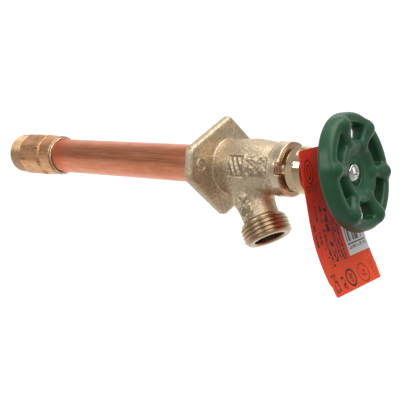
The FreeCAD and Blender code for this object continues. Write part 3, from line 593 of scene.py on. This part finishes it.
def spout_places(x, y, z):
    along = (-y - spout_at) * math.cos(spout_lean) - z * math.sin(spout_lean)
    across = (-y - spout_at) * math.sin(spout_lean) + z * math.cos(spout_lean)
    return along, across, np.hypot(x, across)


def slanted_edge(wide, tall):
    """Negative inside the four slanted edges of the wall flange."""
    return wide * 0.53 + tall * 0.848 - 24.168


def casting_field(x, y, z):
    """The whole casting: flange, barrel, spout, collar and neck, less its bores and holes."""
    out = -y
    across = np.hypot(x, z)
    wide, tall = np.sqrt(x * x + 1.0), np.abs(z)
    outline = soft_max(slanted_edge(wide, tall), np.abs(x) - flange_reach, 2.4)
    flange = np.maximum(soft_max(outline, out - flange_thick, 2.8), -out)
    droop = 1.4 - 0.25 * np.maximum(out - flange_thick, 0.0)
    strip = box(x, out - 3.0, z - droop, 26.5, 2.45, 3.6)
    flange = soft_min(flange, strip, 0.7)
    for side in (-1, 1):
        pad_radius = np.hypot(x - screw_hole_at * side, z) - 3.7
        flange = soft_min(flange, soft_max(pad_radius, between(out, 1.0, 5.7), 0.8), 0.7)
    ridge = box(x - 1.5, out - 4.6, z - 20.2, 0.5, 0.7, 5.4)
    knob = np.sqrt((x - 1.2) ** 2 + (out - flange_thick) ** 2 + (z - 14.6) ** 2) - 0.8
    flange = soft_min(flange, soft_min(ridge, knob, 0.4), 0.5)
    barrel = np.maximum(across - barrel_radius(out), between(out, 1.0, collar_start + 2.0))
    solid = soft_min(flange, barrel, 1.6)
    along, _, radial = spout_places(x, y, z)
    spout = np.maximum(radial - spout_radius(along), between(along, 0.0, 33.4))
    solid = soft_min(solid, spout, 3.4)
    collar = soft_max(across - collar_radius, between(out, collar_start, collar_end), 0.7)
    solid = soft_min(solid, collar, 0.9)
    neck = np.maximum(across - neck_radius, between(out, collar_start, neck_end))
    solid = np.minimum(solid, neck)
    groove = np.maximum(between(across, neck_radius, 12.1), collar_end - 3.0 - out)
    notch = np.maximum(np.maximum(np.abs(z) - 3.3, collar_end - 2.4 - out), 8.4 - np.abs(x))
    notch = np.maximum(np.maximum(notch, 10.4 - across), out - collar_end - 1.0)
    solid = soft_max(solid, -groove, 0.3)
    solid = soft_max(solid, -notch, 0.3)
    way = np.minimum(
        np.maximum(radial - 7.6, between(along, 0.0, 40.0)),
        np.maximum(radial - 9.4, between(along, 29.7, 40.0)),
    )
    bore = np.minimum(across - stem_bore, np.maximum(across - cup_bore, out - 11.0))
    bore = np.minimum(bore, np.maximum(across - tube_bore, out - 36.0))
    bore = np.minimum(bore, np.maximum(across - packing_bore, 52.0 - out))
    solder_bevel = across - cup_bore - 1.3 + np.maximum(out, 0.0)
    bore = np.minimum(bore, solder_bevel)
    solid = np.maximum(solid, -np.minimum(way, bore))
    for side in (-1, 1):
        hole = screw_hole_radius - np.hypot(x - screw_hole_at * side, z)
        solid = soft_max(solid, hole, 0.4)
    return solid


def field_marks(points):
    """Raised foundry fields on the left of the barrel and on the spout: plain ribs and grain."""
    x, out, z = points[:, 0], -points[:, 1], points[:, 2]
    height = np.zeros(len(points))

    def edge(distance, soft=0.35):
        return np.clip(0.5 - distance / soft, 0.0, 1.0)

    def pebbles(size, seed):
        return np.clip(0.15 + value_noise(points, size, seed) * 2.6, 0.0, 1.0)

    left = edge(x + 5.0, 2.0)
    first = np.maximum(np.abs(out - 22.0) - 6.4, np.abs(z - 0.2) - 6.7)
    frame_line = edge(np.abs(first + 0.6) - 0.5)
    wave = np.sin(1.75 * (out - 22.0) + 0.85 * z + 0.5 * value_noise(points, 3.0, 51))
    ribs = edge(first + 1.9) * np.clip(wave * 3.0 + 0.2, 0.0, 1.0) * (0.7 + 0.3 * pebbles(1.2, 54))
    height += left * 0.85 * np.maximum(frame_line, ribs)
    second = np.maximum(np.abs(out - 35.6) - 6.2, np.abs(z - 0.6) - 5.6)
    height += left * 0.7 * edge(second, 1.2) * pebbles(1.45, 52)
    along, across, _ = spout_places(*points.T)
    third = np.maximum(np.abs(along - 25.6) - 6.2, np.abs(across + 1.5) - 5.0)
    height += left * 0.7 * edge(third, 1.2) * pebbles(1.45, 53)
    near_field = left * np.maximum(np.maximum(edge(first, 1.0), edge(second, 1.0)), edge(third, 1.0))
    return height, near_field


def make_casting(paint):
    step = 0.46
    points, faces = skin(casting_field, (-32.5, -neck_end, -45.5), (32.5, 0.3, 28.6), step)
    normal = unit(slopes(casting_field, points, 0.3))
    out = -points[:, 1]
    across = np.hypot(points[:, 0], points[:, 2])
    _, _, radial = spout_places(*points.T)
    cast = np.clip((out - 0.3) / 0.4, 0, 1) * np.clip((collar_start + 3.0 - out) / 0.8, 0, 1)
    cast = cast * (across > 12.6) * (radial > 9.9)
    marks, near_field = field_marks(points)
    rim_distance = np.abs(slanted_edge(np.abs(points[:, 0]), np.abs(points[:, 2])) + 0.168)
    near_rim = np.clip(1.0 - rim_distance / 1.4, 0, 1)
    grain = value_noise(points, 0.95, 3) * 0.6 + value_noise(points, 0.5, 4) * 0.4
    height = marks + grain * (0.05 + 0.15 * near_field + 0.20 * near_rim * (out < 5.6))
    height += value_noise(points, 7.0, 5) * 0.10
    points = points + normal * (height * cast)[:, None]
    points[:, 1] = np.minimum(points[:, 1], 0.0)
    # painted shade: low spots of the raised fields, and grain pits near the flange rim, get a share of
    # dark shade for the finish to paint in
    hollow_shade_amount = np.clip(0.55 - height * 1.2, 0.0, 1.0) * near_field
    hollow_shade_amount = (hollow_shade_amount + np.clip(-grain * 1.5, 0, 1) * 0.4 * near_rim) * cast
    mesh_piece("cast_body", points, faces, "root", paint, ["valve_body"], hollow=hollow_shade_amount)


def helix_teeth(pitch, depth, first, last, crest_share=0.16, taper=0.0):
    """A thread's rise above its root for lathe(), running out softly at both ends."""

    def change(length, radius, angle):
        phase = (length / pitch - angle / (2 * np.pi)) % 1.0
        flank = (0.5 - np.abs(phase - 0.5)) * 2.0
        tooth = np.clip((flank - 0.22) / (1.0 - 0.22 - crest_share * 1.6), 0.0, 1.0)
        tooth = tooth * tooth * (3 - 2 * tooth)
        fading = np.clip((length - first) / pitch, 0, 1) * np.clip((last - length) / (0.6 * pitch), 0, 1)
        outer = radius > 0.85 * radius.max()
        return radius + outer * (depth * tooth * fading - taper * (length - first))

    return change


def make_spout_thread(paint):
    root, tip = hose_root, spout_length
    outer = [(32.2, 10.45), (32.9, 11.2), (33.3, root - 0.25), (33.7, root)]
    outer += [(s, root) for s in np.arange(33.9, tip - 0.55, 0.13)]
    outer += [(tip - 0.5, root - 0.02), (tip - 0.2, root - 0.2), (tip, root - 0.5)]
    face = [(tip, r) for r in np.linspace(root - 0.9, 9.3, 6)]
    inner = [(tip - 0.15, 8.95), (tip - 0.5, 8.62)]
    inner += [(s, 8.6) for s in np.linspace(tip - 1.2, 29.6, 9)]
    inner += [(29.6, 7.62), (30.4, 7.62), (31.0, 9.0)]
    profile = outer + face + inner
    side = np.array([1.0, 0.0, 0.0])
    teeth = helix_teeth(hose_pitch, hose_depth, 33.6, tip - 0.3)
    start = np.array([0.0, -spout_at, 0.0])
    columns = 160
    points = lathe(profile, start, spout_way, side, columns, teeth)
    faces = wrapped(len(profile), columns)
    mesh_piece("hose_thread", points, faces, "root", paint)


# --- copper side ---------------------------------------------------------------

cup_rim = reach("inlet_fitting")[1]
inlet_end = reach("inlet_fitting")[0]
wrench_start = cup_rim - 11.6
wrench_end = wrench_start - 19.4
thread_foot = wrench_end - 1.2


def inlet_field(x, y, z):
    """Solder cup, octagonal wrench flats and the foot of the pipe thread, with the bore through them."""
    out = -y
    across = np.hypot(x, z)
    cup = soft_max(across - 13.11, between(out, wrench_start - 2.0, cup_rim), 0.9)
    flats = np.full(np.broadcast(x, y, z).shape, -1e3)
    for i in range(4):
        angle = math.radians(45.0 * i)
        flats = soft_max(flats, np.abs(x * math.cos(angle) + z * math.sin(angle)) - 13.45, 1.1)
    wrench = soft_max(flats, between(out, wrench_end, wrench_start), 0.5)
    from_ends = np.minimum(out - wrench_end, wrench_start - out)
    bevel = across - 14.1 - np.minimum(from_ends, 2.0) * 0.5
    wrench = soft_max(wrench, bevel, 0.4)
    stub = np.maximum(across - 12.5, between(out, thread_foot - 3.0, wrench_end + 1.0))
    solid = np.minimum(soft_min(cup, wrench, 0.5), stub)
    chamber_start, cup_floor = wrench_start - 9.9, wrench_start + 0.6
    steps = [wrench_end - 20.0, chamber_start, chamber_start + 0.1, cup_floor, cup_floor + 0.05]
    inner = np.interp(out, steps, [6.0, 6.0, tube_bore, tube_bore, cup_bore])
    return soft_max(solid, inner - across, 0.25)


def make_inlet(body_paint, thread_paint):
    step = 0.42
    points, faces = skin(inlet_field, (-14.8, -cup_rim, -14.8), (14.8, -thread_foot + 3.2, 14.8), step)
    normal = unit(slopes(inlet_field, points, 0.25))
    dents = value_noise(points * np.array([1.0, 0.25, 1.0]), 1.6, 21) * 0.05
    dents += value_noise(points, 4.0, 22) * 0.08
    points = points + normal * dents[:, None]
    points[:, 1] = np.maximum(points[:, 1], -cup_rim)
    mesh_piece("inlet_body", points, faces, "root", body_paint, ["inlet_fitting"])
    root = pipe_root
    length = thread_foot - inlet_end + 0.9
    outer = [(-0.7, root - 0.3), (0.0, root)]
    outer += [(s, root) for s in np.arange(0.2, length - 0.9, 0.14)]
    outer += [(length - 0.7, root - 0.15), (length - 0.25, root - 0.5), (length, root - 1.0)]
    face = [(length, r) for r in np.linspace(root - 1.4, 8.5, 5)]
    inner = [(length - 0.3, 8.05)] + [(s, 7.99) for s in np.linspace(length - 0.8, length - 13.0, 7)]
    inner += [(length - 13.0, 6.02), (-1.6, 6.02), (-1.6, 11.0)]
    profile = outer + face + inner
    along = np.array([0.0, 1.0, 0.0])
    side = np.array([1.0, 0.0, 0.0])
    teeth = helix_teeth(pipe_pitch, pipe_depth, 0.1, length - 1.0, 0.22, 0.031)
    start = np.array([0.0, -(thread_foot + 0.9), 0.0])
    columns = 144
    points = lathe(profile, start, along, side, columns, teeth)
    faces = wrapped(len(profile), columns)
    mesh_piece("inlet_thread", points, faces, "root", thread_paint)


def make_solder(name, node, at, tall, wide, seed, paint, drip=None):
    """An uneven bead of solder round the tube; a drip hangs from the inlet's."""
    columns, rows = 180, 14
    turn = np.linspace(0, 2 * np.pi, columns, endpoint=False)
    cross = np.linspace(0, 2 * np.pi, rows, endpoint=False)
    ring = np.stack([np.cos(turn), np.zeros(columns), np.sin(turn)], axis=1)
    spread = ring * 12.0
    swell = 1.0 + 0.22 * value_noise(spread, 2.2, seed) + 0.12 * value_noise(spread, 0.9, seed + 1)
    if drip is not None:
        apart = np.abs((turn - drip + np.pi) % (2 * np.pi) - np.pi)
        swell = swell + 1.1 * np.exp(-((apart / 0.16) ** 2))
    radius = 11.10 + 0.5 * wide * swell[None, :] * (1.0 + np.cos(cross)[:, None])
    along = at + 0.5 * tall * (swell[None, :] * np.sin(cross)[:, None] + 1.0)
    points = np.stack([radius * ring[:, 0], -along, radius * ring[:, 2]], axis=2).reshape(-1, 3)
    mesh_piece(name, points, wrapped(rows, columns), "root", paint, [node])


# --- gland nut ------------------------------------------------------------------

nut_start, nut_end = reach("packing_nut")
nut_flat, nut_turn = 11.7, 198.0


def nut_field(x, y, z):
    """Wrench flats at the back of the nut, and a round tapering nose in front of them."""
    out = -y
    across = np.hypot(x, z)
    hexagon = np.full(np.broadcast(x, y, z).shape, -1e3)
    for i in range(3):
        angle = math.radians(nut_turn + 60.0 * i)
        flat = np.abs(x * math.cos(angle) + z * math.sin(angle)) - nut_flat
        hexagon = soft_max(hexagon, flat, 0.3)
    flats_end = nut_start + 5.2
    solid = soft_max(hexagon, between(out, nut_start, flats_end + 1.0), 0.35)
    rear = (across - 11.75 - (out - nut_start) * 0.7) / 1.22
    solid = soft_max(solid, rear, 0.25)
    nose_radius = 13.15 - 0.20 * (out - flats_end)
    nose = soft_max(across - nose_radius, between(out, flats_end, nut_end), 0.9)
    solid = np.minimum(solid, nose)
    bore = np.maximum(across - 10.35, out - 60.0)
    bore = np.minimum(bore, across - 4.91)
    bore = np.minimum(bore, across - 5.6 + nut_end - out)
    return soft_max(solid, -bore, 0.2)


def make_nut(paint):
    step = 0.26
    points, faces = skin(nut_field, (-13.8, -nut_end, -13.8), (13.8, -nut_start, 13.8), step)
    mesh_piece("gland_nut", points, faces, "root", paint, ["packing_nut"])


# --- handwheel ---------------------------------------------------------------------

wheel_centre = np.array([0.0, -83.3, 0.0])
wheel_turn = np.array(
    Matrix.Rotation(math.radians(-90.0 + 3.6), 3, "Z") @ Matrix.Rotation(math.radians(-11.5), 3, "Y")
)
wheel_radius, rim_inside, rim_depth = 31.0, 24.5, 8.6
spoke_count, spoke_start, spoke_end = 6, 15.0, 25.6
boss_radius, boss_start, boss_end = 8.0, 78.05, 86.0
recess_radius, recess_floor = 6.2, 86.3
socket_half, socket_end = 3.4, 84.8
screw_top = 88.9


def wheel_field(out, across, up):
    """The wheel in its own frame: out along its axis from the back of the rim."""
    radius = np.sqrt(across * across + up * up)
    side = soft_max(radius + 0.10 * out - wheel_radius, rim_inside - radius, 1.0)
    crown = soft_max(between(out, 0.0, rim_depth), radius * 0.7 + out * 0.72 - 27.2, 1.6)
    rim = soft_max(side, crown, 2.2)
    rise = np.clip((radius - 7.5) / 7.6, 0.0, 1.0)
    dish = 4.5 + 3.5 * rise * rise * (3.0 - 2.0 * rise)
    hub_back = 1.0 + 0.12 * (radius - 8.0)
    hub_side = radius - 15.9 - 0.38 * np.clip(8.0 - out, 0.0, 8.0)
    hub = soft_max(hub_side, soft_max(out - dish, hub_back - out, 0.8), 1.6)
    spokes = np.full(np.broadcast(out, across, up).shape, 1e3)
    for i in range(spoke_count):
        angle = 2 * math.pi * i / spoke_count
        along = across * math.cos(angle) + up * math.sin(angle)
        off = -across * math.sin(angle) + up * math.cos(angle)
        spine = np.clip(along, spoke_start, spoke_end)
        swell = np.clip((along - 18.5) / 6.0, 0.0, 1.0)
        thick = 3.45 + 1.05 * swell * swell * (3 - 2 * swell)
        depth = out - 2.7 - 0.155 * spine
        depth = np.maximum(depth, np.minimum(depth + 2.4, 0.0))
        distance = np.sqrt((along - spine) ** 2 + off * off + depth**2) - thick
        spokes = soft_min(spokes, distance, 0.8)
    spokes = soft_max(spokes, 0.25 - out, 0.6)
    solid = soft_min(rim, spokes, 1.8)
    return soft_min(solid, hub, 1.5)


def whole_wheel_field(x, y, z):
    """The wheel in the row frame, with its boss, socket and screw recess true to the stem."""
    y = y - wheel_centre[1]
    out, across, up = (column[0] * x + column[1] * y + column[2] * z for column in wheel_turn.T)
    solid = wheel_field(out, across, up)
    ahead = -(y + wheel_centre[1])
    radius = np.hypot(x, z)
    boss = soft_max(radius - boss_radius, between(ahead, boss_start, boss_end), 0.7)
    solid = soft_min(solid, boss, 1.2)
    above = ahead - recess_floor
    recess = np.maximum(radius - recess_radius - 0.05 * above, -above)
    solid = soft_max(solid, -recess, 0.55)
    socket = np.maximum(np.maximum(np.abs(x), np.abs(z)) - socket_half, ahead - socket_end)
    clearance = np.maximum(radius - 2.3, ahead - 90.0)
    return np.maximum(solid, -np.minimum(socket, clearance))


def make_wheel(paint):
    step = 0.45
    points, faces = skin(whole_wheel_field, (-31.5, -99.6, -31.0), (31.5, -77.6, 31.6), step)
    normal = unit(slopes(whole_wheel_field, points, 0.3))
    points = points + normal * (value_noise(points, 5.0, 31) * 0.05)[:, None]
    mesh_piece("green_wheel", points, faces, "stem", paint, ["handwheel"])


def screw_field(x, y, z):
    """Pan-head screw with a cross recess."""
    ahead = -y
    radius = np.hypot(x, z)
    dome = np.sqrt(radius**2 + (ahead - 81.5) ** 2) - 7.4
    head = soft_max(soft_max(radius - 4.85, dome, 0.35), recess_floor - ahead, 0.2)
    shank = np.maximum(radius - 1.88, between(ahead, 76.9, 87.0))
    solid = np.minimum(head, shank)
    a, b = x * 0.94 + z * 0.34, -x * 0.34 + z * 0.94
    below_top = screw_top - ahead
    arm, half_slot = 2.6 - below_top * 0.75, 0.55
    arms = np.minimum(
        np.maximum(np.abs(a) - half_slot, np.abs(b) - arm),
        np.maximum(np.abs(b) - half_slot, np.abs(a) - arm),
    )
    centre = radius - 1.15 + below_top * 0.35
    cross = np.maximum(np.minimum(arms, centre), 86.9 - ahead)
    return soft_max(solid, -cross, 0.18)


def make_screw(paint):
    step = 0.14
    points, faces = skin(screw_field, (-5.0, -89.0, -5.0), (5.0, -76.8, 5.0), step)
    mesh_piece("hub_screw", points, faces, "stem", paint, ["wheel_screw"])


# --- hang tag ----------------------------------------------------------------------

tag_hang = np.array(
    Matrix.Rotation(math.radians(-90.0), 3, "Z")
    @ Matrix.Rotation(math.radians(10.6), 3, "X")
    @ Matrix.Rotation(math.radians(-7.6), 3, "Y")
)
TAG_STRAIGHT, TAG_BEND, TAG_THICK = 19.4, 104.0, 0.45
TAG_TOP, TAG_FOOT, TAG_HALF, TAG_HOLE = -14.0, 62.8, 22.3, 7.4
CARD_SPACING = 1.5


def on_card(across, down, lift):
    """Row-frame points of the card's layout, lifted from its back; the card has a slight cockle."""
    cockle = 0.10 * np.sin(down * 0.16 + across * 0.05) * np.clip((down - 10) / 20, 0, 1)
    lift = lift + cockle
    angle = np.clip(down - TAG_STRAIGHT, 0.0, None) / TAG_BEND
    out = TAG_BEND - (TAG_BEND - lift) * np.cos(angle)
    up = -np.minimum(down, TAG_STRAIGHT) - (TAG_BEND - lift) * np.sin(angle)
    local = np.stack([out, across, up], axis=1)
    return local @ tag_hang.T + np.array([0.0, -70.8, 0.0])


def inside(points, loop):
    """Which flat points lie inside a closed outline."""
    hit = np.zeros(len(points), bool)
    for a, b in zip(loop, np.roll(loop, -1, axis=0)):
        level = (a[1] > points[:, 1]) != (b[1] > points[:, 1])
        rise = b[1] - a[1] if b[1] != a[1] else 1e-9
        hit ^= level & (points[:, 0] < (b[0] - a[0]) * (points[:, 1] - a[1]) / rise + a[0])
    return hit


def clear(points, loop):
    """Which flat points keep away from an outline's own points."""
    apart = np.linalg.norm(points[:, None] - loop[None], axis=2)
    return np.min(apart, axis=1) > CARD_SPACING * 0.45


def edge_points(corners):
    """Evenly spaced points along a closed outline."""
    points = []
    for start, end in zip(corners, corners[1:] + corners[:1]):
        start, end = np.array(start, float), np.array(end, float)
        count = max(1, int(round(np.linalg.norm(end - start) / CARD_SPACING)))
        points += [tuple(start + (end - start) * i / count) for i in range(count)]
    return points


def sheet_piece(name, outline, holes, near, far, paint, node):
    """A thin flat piece of the card's layout with two faces and closed edges."""
    loops = [np.array(loop, float) for loop in (outline, *holes)]
    low, high = loops[0].min(axis=0), loops[0].max(axis=0)
    us, ss = (np.arange(low[i] + CARD_SPACING / 2, high[i], CARD_SPACING) for i in (0, 1))
    grid = np.array([(u, s) for u in us for s in ss])
    keep = inside(grid, loops[0]) & clear(grid, loops[0])
    for hole in loops[1:]:
        keep &= ~inside(grid, hole) & clear(grid, hole)
    flat = np.concatenate(loops + [grid[keep]])
    edges, first = [], 0
    for loop in loops:
        count = len(loop)
        edges += [(first + i, first + (i + 1) % count) for i in range(count)]
        first += count
    verts, _, tris, _, _, _ = delaunay_2d_cdt([Vector(p) for p in flat], edges, [], 0, 1e-5)
    verts = np.array([tuple(v) for v in verts])
    tris = np.array([t for t in tris if len(t) == 3])
    middle = verts[tris].mean(axis=1)
    good = inside(middle, loops[0])
    for hole in loops[1:]:
        good &= ~inside(middle, hole)
    tris = tris[good]
    area = np.cross(verts[tris[:, 1]] - verts[tris[:, 0]], verts[tris[:, 2]] - verts[tris[:, 0]])
    tris[area < 0] = tris[area < 0][:, ::-1]
    count = len(verts)
    front = on_card(verts[:, 0], verts[:, 1], far)
    back = on_card(verts[:, 0], verts[:, 1], near)
    sides = [pair for a, b, c in tris.tolist() for pair in ((a, b), (b, c), (c, a))]
    known = set(sides)
    rim = [(a, b) for a, b in sides if (b, a) not in known]
    faces = [tuple(t[::-1]) for t in tris] + [tuple(t + count) for t in tris]
    faces += [(a, b, b + count, a + count) for a, b in rim]
    points = np.concatenate([front, back])
    layout = np.concatenate([verts, verts])
    mesh_piece(name, points, faces, "tag", paint, [node], smooth=False, layout=layout)


def make_tag(card_paint, label_paint):
    half, foot, top = TAG_HALF, TAG_FOOT, TAG_TOP
    card = edge_points([
        (-half, top + 0.8), (-half + 0.8, top), (half - 0.8, top), (half, top + 0.8),
        (half, 55.5), (half - 1.3, foot - 0.8), (half - 2.1, foot),
        (-half + 1.6, foot), (-half + 0.8, foot - 0.8), (-half + 1.0, 56.8), (-half, 54.6),
    ])
    turn = np.linspace(0, 2 * np.pi, 56, endpoint=False)
    hole = [(TAG_HOLE * math.cos(t), TAG_HOLE * math.sin(t)) for t in turn]
    sheet_piece("orange_tag", card, [hole], 0.0, TAG_THICK, card_paint, "hang_tag")
    left, right, upper, lower, clip = 3.0, 22.0, 20.4, 46.0, 0.4
    label = edge_points([
        (left + clip, upper), (right - clip, upper), (right, upper + clip), (right, lower - clip),
        (right - clip, lower), (left + clip, lower), (left, lower - clip), (left, upper + clip),
    ])
    near = TAG_THICK + 0.01
    far = near + 0.15
    sheet_piece("bar_label", label, [], near, far, label_paint, "tag_label")


# --- finishes ------------------------------------------------------------------------

cast_paint = sand_cast_nickel(collar_start + 2.2)
thread_paint = machined_nickel()
copper_paint = drawn_copper(-cup_rim)
solder_paint = soft_solder()
nut_paint = bright_plate("bright nickel plate", (0.74, 0.56, 0.35), 0.07)
screw_paint = bright_plate("zinc plate", (0.82, 0.80, 0.75), 0.10)
spindle_paint = bright_plate("turned stem brass", (0.74, 0.56, 0.30), 0.16)
enamel_paint = green_enamel()
rubber_paint = plain_finish("black washer rubber", (0.012, 0.012, 0.012), (0.03, 0.03, 0.03), 0.8, 0.55)
packing_paint = plain_finish(
    "graphite packing", (0.03, 0.03, 0.032), (0.09, 0.09, 0.09), 0.4, 0.4, 0.2, 0.06
)
plastic_paint = plain_finish("float plastic", (0.60, 0.58, 0.52), (0.70, 0.68, 0.62), 3.0, 0.35)
steel_paint = plain_finish("spring steel", (0.35, 0.35, 0.36), (0.50, 0.50, 0.50), 1.2, 0.25, 1.0)

make_casting(cast_paint)
make_spout_thread(thread_paint)
make_inlet(heated_brass(), gold_brass())
make_solder("inlet_bead", "inlet_solder", cup_rim, 0.8, 1.1, 41, solder_paint, math.radians(262))
make_solder("flange_bead", "flange_solder", 0.05, 0.9, 1.2, 43, solder_paint)
make_nut(nut_paint)
make_wheel(enamel_paint)
make_screw(screw_paint)
make_tag(printed_card(), bar_label())

NODE_FINISH = {
    "barrel_tube": copper_paint,
    "stem_tube": spindle_paint,
    "spindle": spindle_paint,
    "rear_shank": spindle_paint,
    "cross_pins": steel_paint,
    "swivel_clip": steel_paint,
    "washer_holder": spindle_paint,
    "washer_plate": spindle_paint,
    "washer_screw": spindle_paint,
    "seat_washer": rubber_paint,
    "breaker_retainer": steel_paint,
    "breaker_float": plastic_paint,
    "breaker_seal": rubber_paint,
    "packing_washer": spindle_paint,
    "stem_packing": packing_paint,
    "gland_follower": spindle_paint,
}
for node, finish in NODE_FINISH.items():
    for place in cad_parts[node].material_slots:
        place.material = finish

# --- studio ----------------------------------------------------------------------------


def make_stage():
    """A pale floor that curves up into a pale wall; it glows more the farther back it runs."""
    floor_level, wall_at, bend = -0.35, 2.0, 0.6
    profile = [(-2.5, floor_level), (wall_at - bend, floor_level)]
    for i in range(1, 17):
        angle = math.pi / 2 * i / 16
        rise = bend * (1 - math.cos(angle))
        profile.append((wall_at - bend + bend * math.sin(angle), floor_level + rise))
    profile.append((wall_at, 2.4))
    away = Vector((0.7478, 0.6616, 0.0)).normalized()
    side = Vector((away.y, -away.x, 0.0))
    points = []
    for distance, height in profile:
        for sign in (-3.0, 3.0):
            points.append(tuple(away * distance + side * sign + Vector((0, 0, height))))
    faces = [(2 * i, 2 * i + 1, 2 * i + 3, 2 * i + 2) for i in range(len(profile) - 1)]
    mesh = bpy.data.meshes.new("studio_floor")
    mesh.from_pydata(points, [], faces)
    mesh.polygons.foreach_set("use_smooth", [True] * len(faces))
    paint = Paint("pale studio floor", Roughness=0.9, Emission_Strength=1.0)
    paint.shader.inputs["Base Color"].default_value = (0.14, 0.14, 0.14, 1.0)
    east, north, _ = paint.split(paint.place)
    back = paint.fade(east * away.x + north * away.y, -380.0, 640.0)
    glow = paint.blend((0.22, 0.22, 0.22), (1.02, 1.02, 1.02), back)
    mesh.materials.append(paint.wear(glow=glow))
    floor = bpy.data.objects.new("studio_floor", mesh)
    bpy.context.scene.collection.objects.link(floor)


def soft_light(name, place, aim, size, power):
    lamp = bpy.data.lights.new(name, "AREA")
    lamp.shape = "RECTANGLE"
    lamp.size, lamp.size_y = size
    lamp.energy = power
    lit = bpy.data.objects.new(name, lamp)
    lit.location = place
    lit.rotation_euler = (Vector(aim) - Vector(place)).to_track_quat("-Z", "Y").to_euler()
    bpy.context.scene.collection.objects.link(lit)


def make_camera():
    camera = bpy.data.objects.new("camera", bpy.data.cameras.new("camera"))
    camera.data.sensor_width = 36.0
    camera.data.lens = 77.94
    camera.data.clip_start = 0.01
    right = Vector((0.6638, -0.7463, 0.0489))
    up = Vector((0.0094, 0.0737, 0.9972))
    ahead = Vector((0.7478, 0.6616, -0.0559))
    turn = Matrix((right, up, -ahead)).transposed()
    camera.matrix_world = Matrix.Translation((-0.3790, -0.3193, 0.0072)) @ turn.to_4x4()
    bpy.context.scene.collection.objects.link(camera)
    bpy.context.scene.camera = camera


def light_room():
    """The world: greys by height, from straight down to straight up."""
    shades = ((0.0, 0.22), (0.46, 0.30), (0.54, 0.27), (0.72, 0.30), (0.88, 0.38), (1.0, 0.60))
    world = bpy.data.worlds.new("studio_room")
    world.use_nodes = True
    room = Tree(world.node_tree)
    _, _, up = room.split(room.add("ShaderNodeTexCoord", out="Generated"))
    height = room.add("ShaderNodeMapRange", None, {"Value": up, "From Min": -1.0})
    stops = [(at, (grey, grey, grey * 1.02, 1.0)) for at, grey in shades]
    colour = room.add("ShaderNodeValToRGB", {"stops": stops}, {"Fac": height})
    room.link(colour, room.first("BACKGROUND").inputs["Color"])
    bpy.context.scene.world = world


make_stage()
make_camera()
soft_light("overhead", (-0.15, -0.25, 1.2), (-0.10, -0.20, 0.0), (1.2, 1.2), 11.0)
soft_light("left_front", (-0.9, -0.9, 0.85), (0.0, 0.0, 0.0), (0.8, 0.8), 5.6)
soft_light("left_side", (-1.3, 0.35, 0.55), (0.0, -0.05, 0.0), (0.6, 0.6), 5.5)
soft_light("right_front", (0.5, -1.2, 0.35), (0.0, -0.05, 0.0), (0.5, 0.9), 1.3)
light_room()
bpy.context.scene.view_settings.view_transform = "Standard"
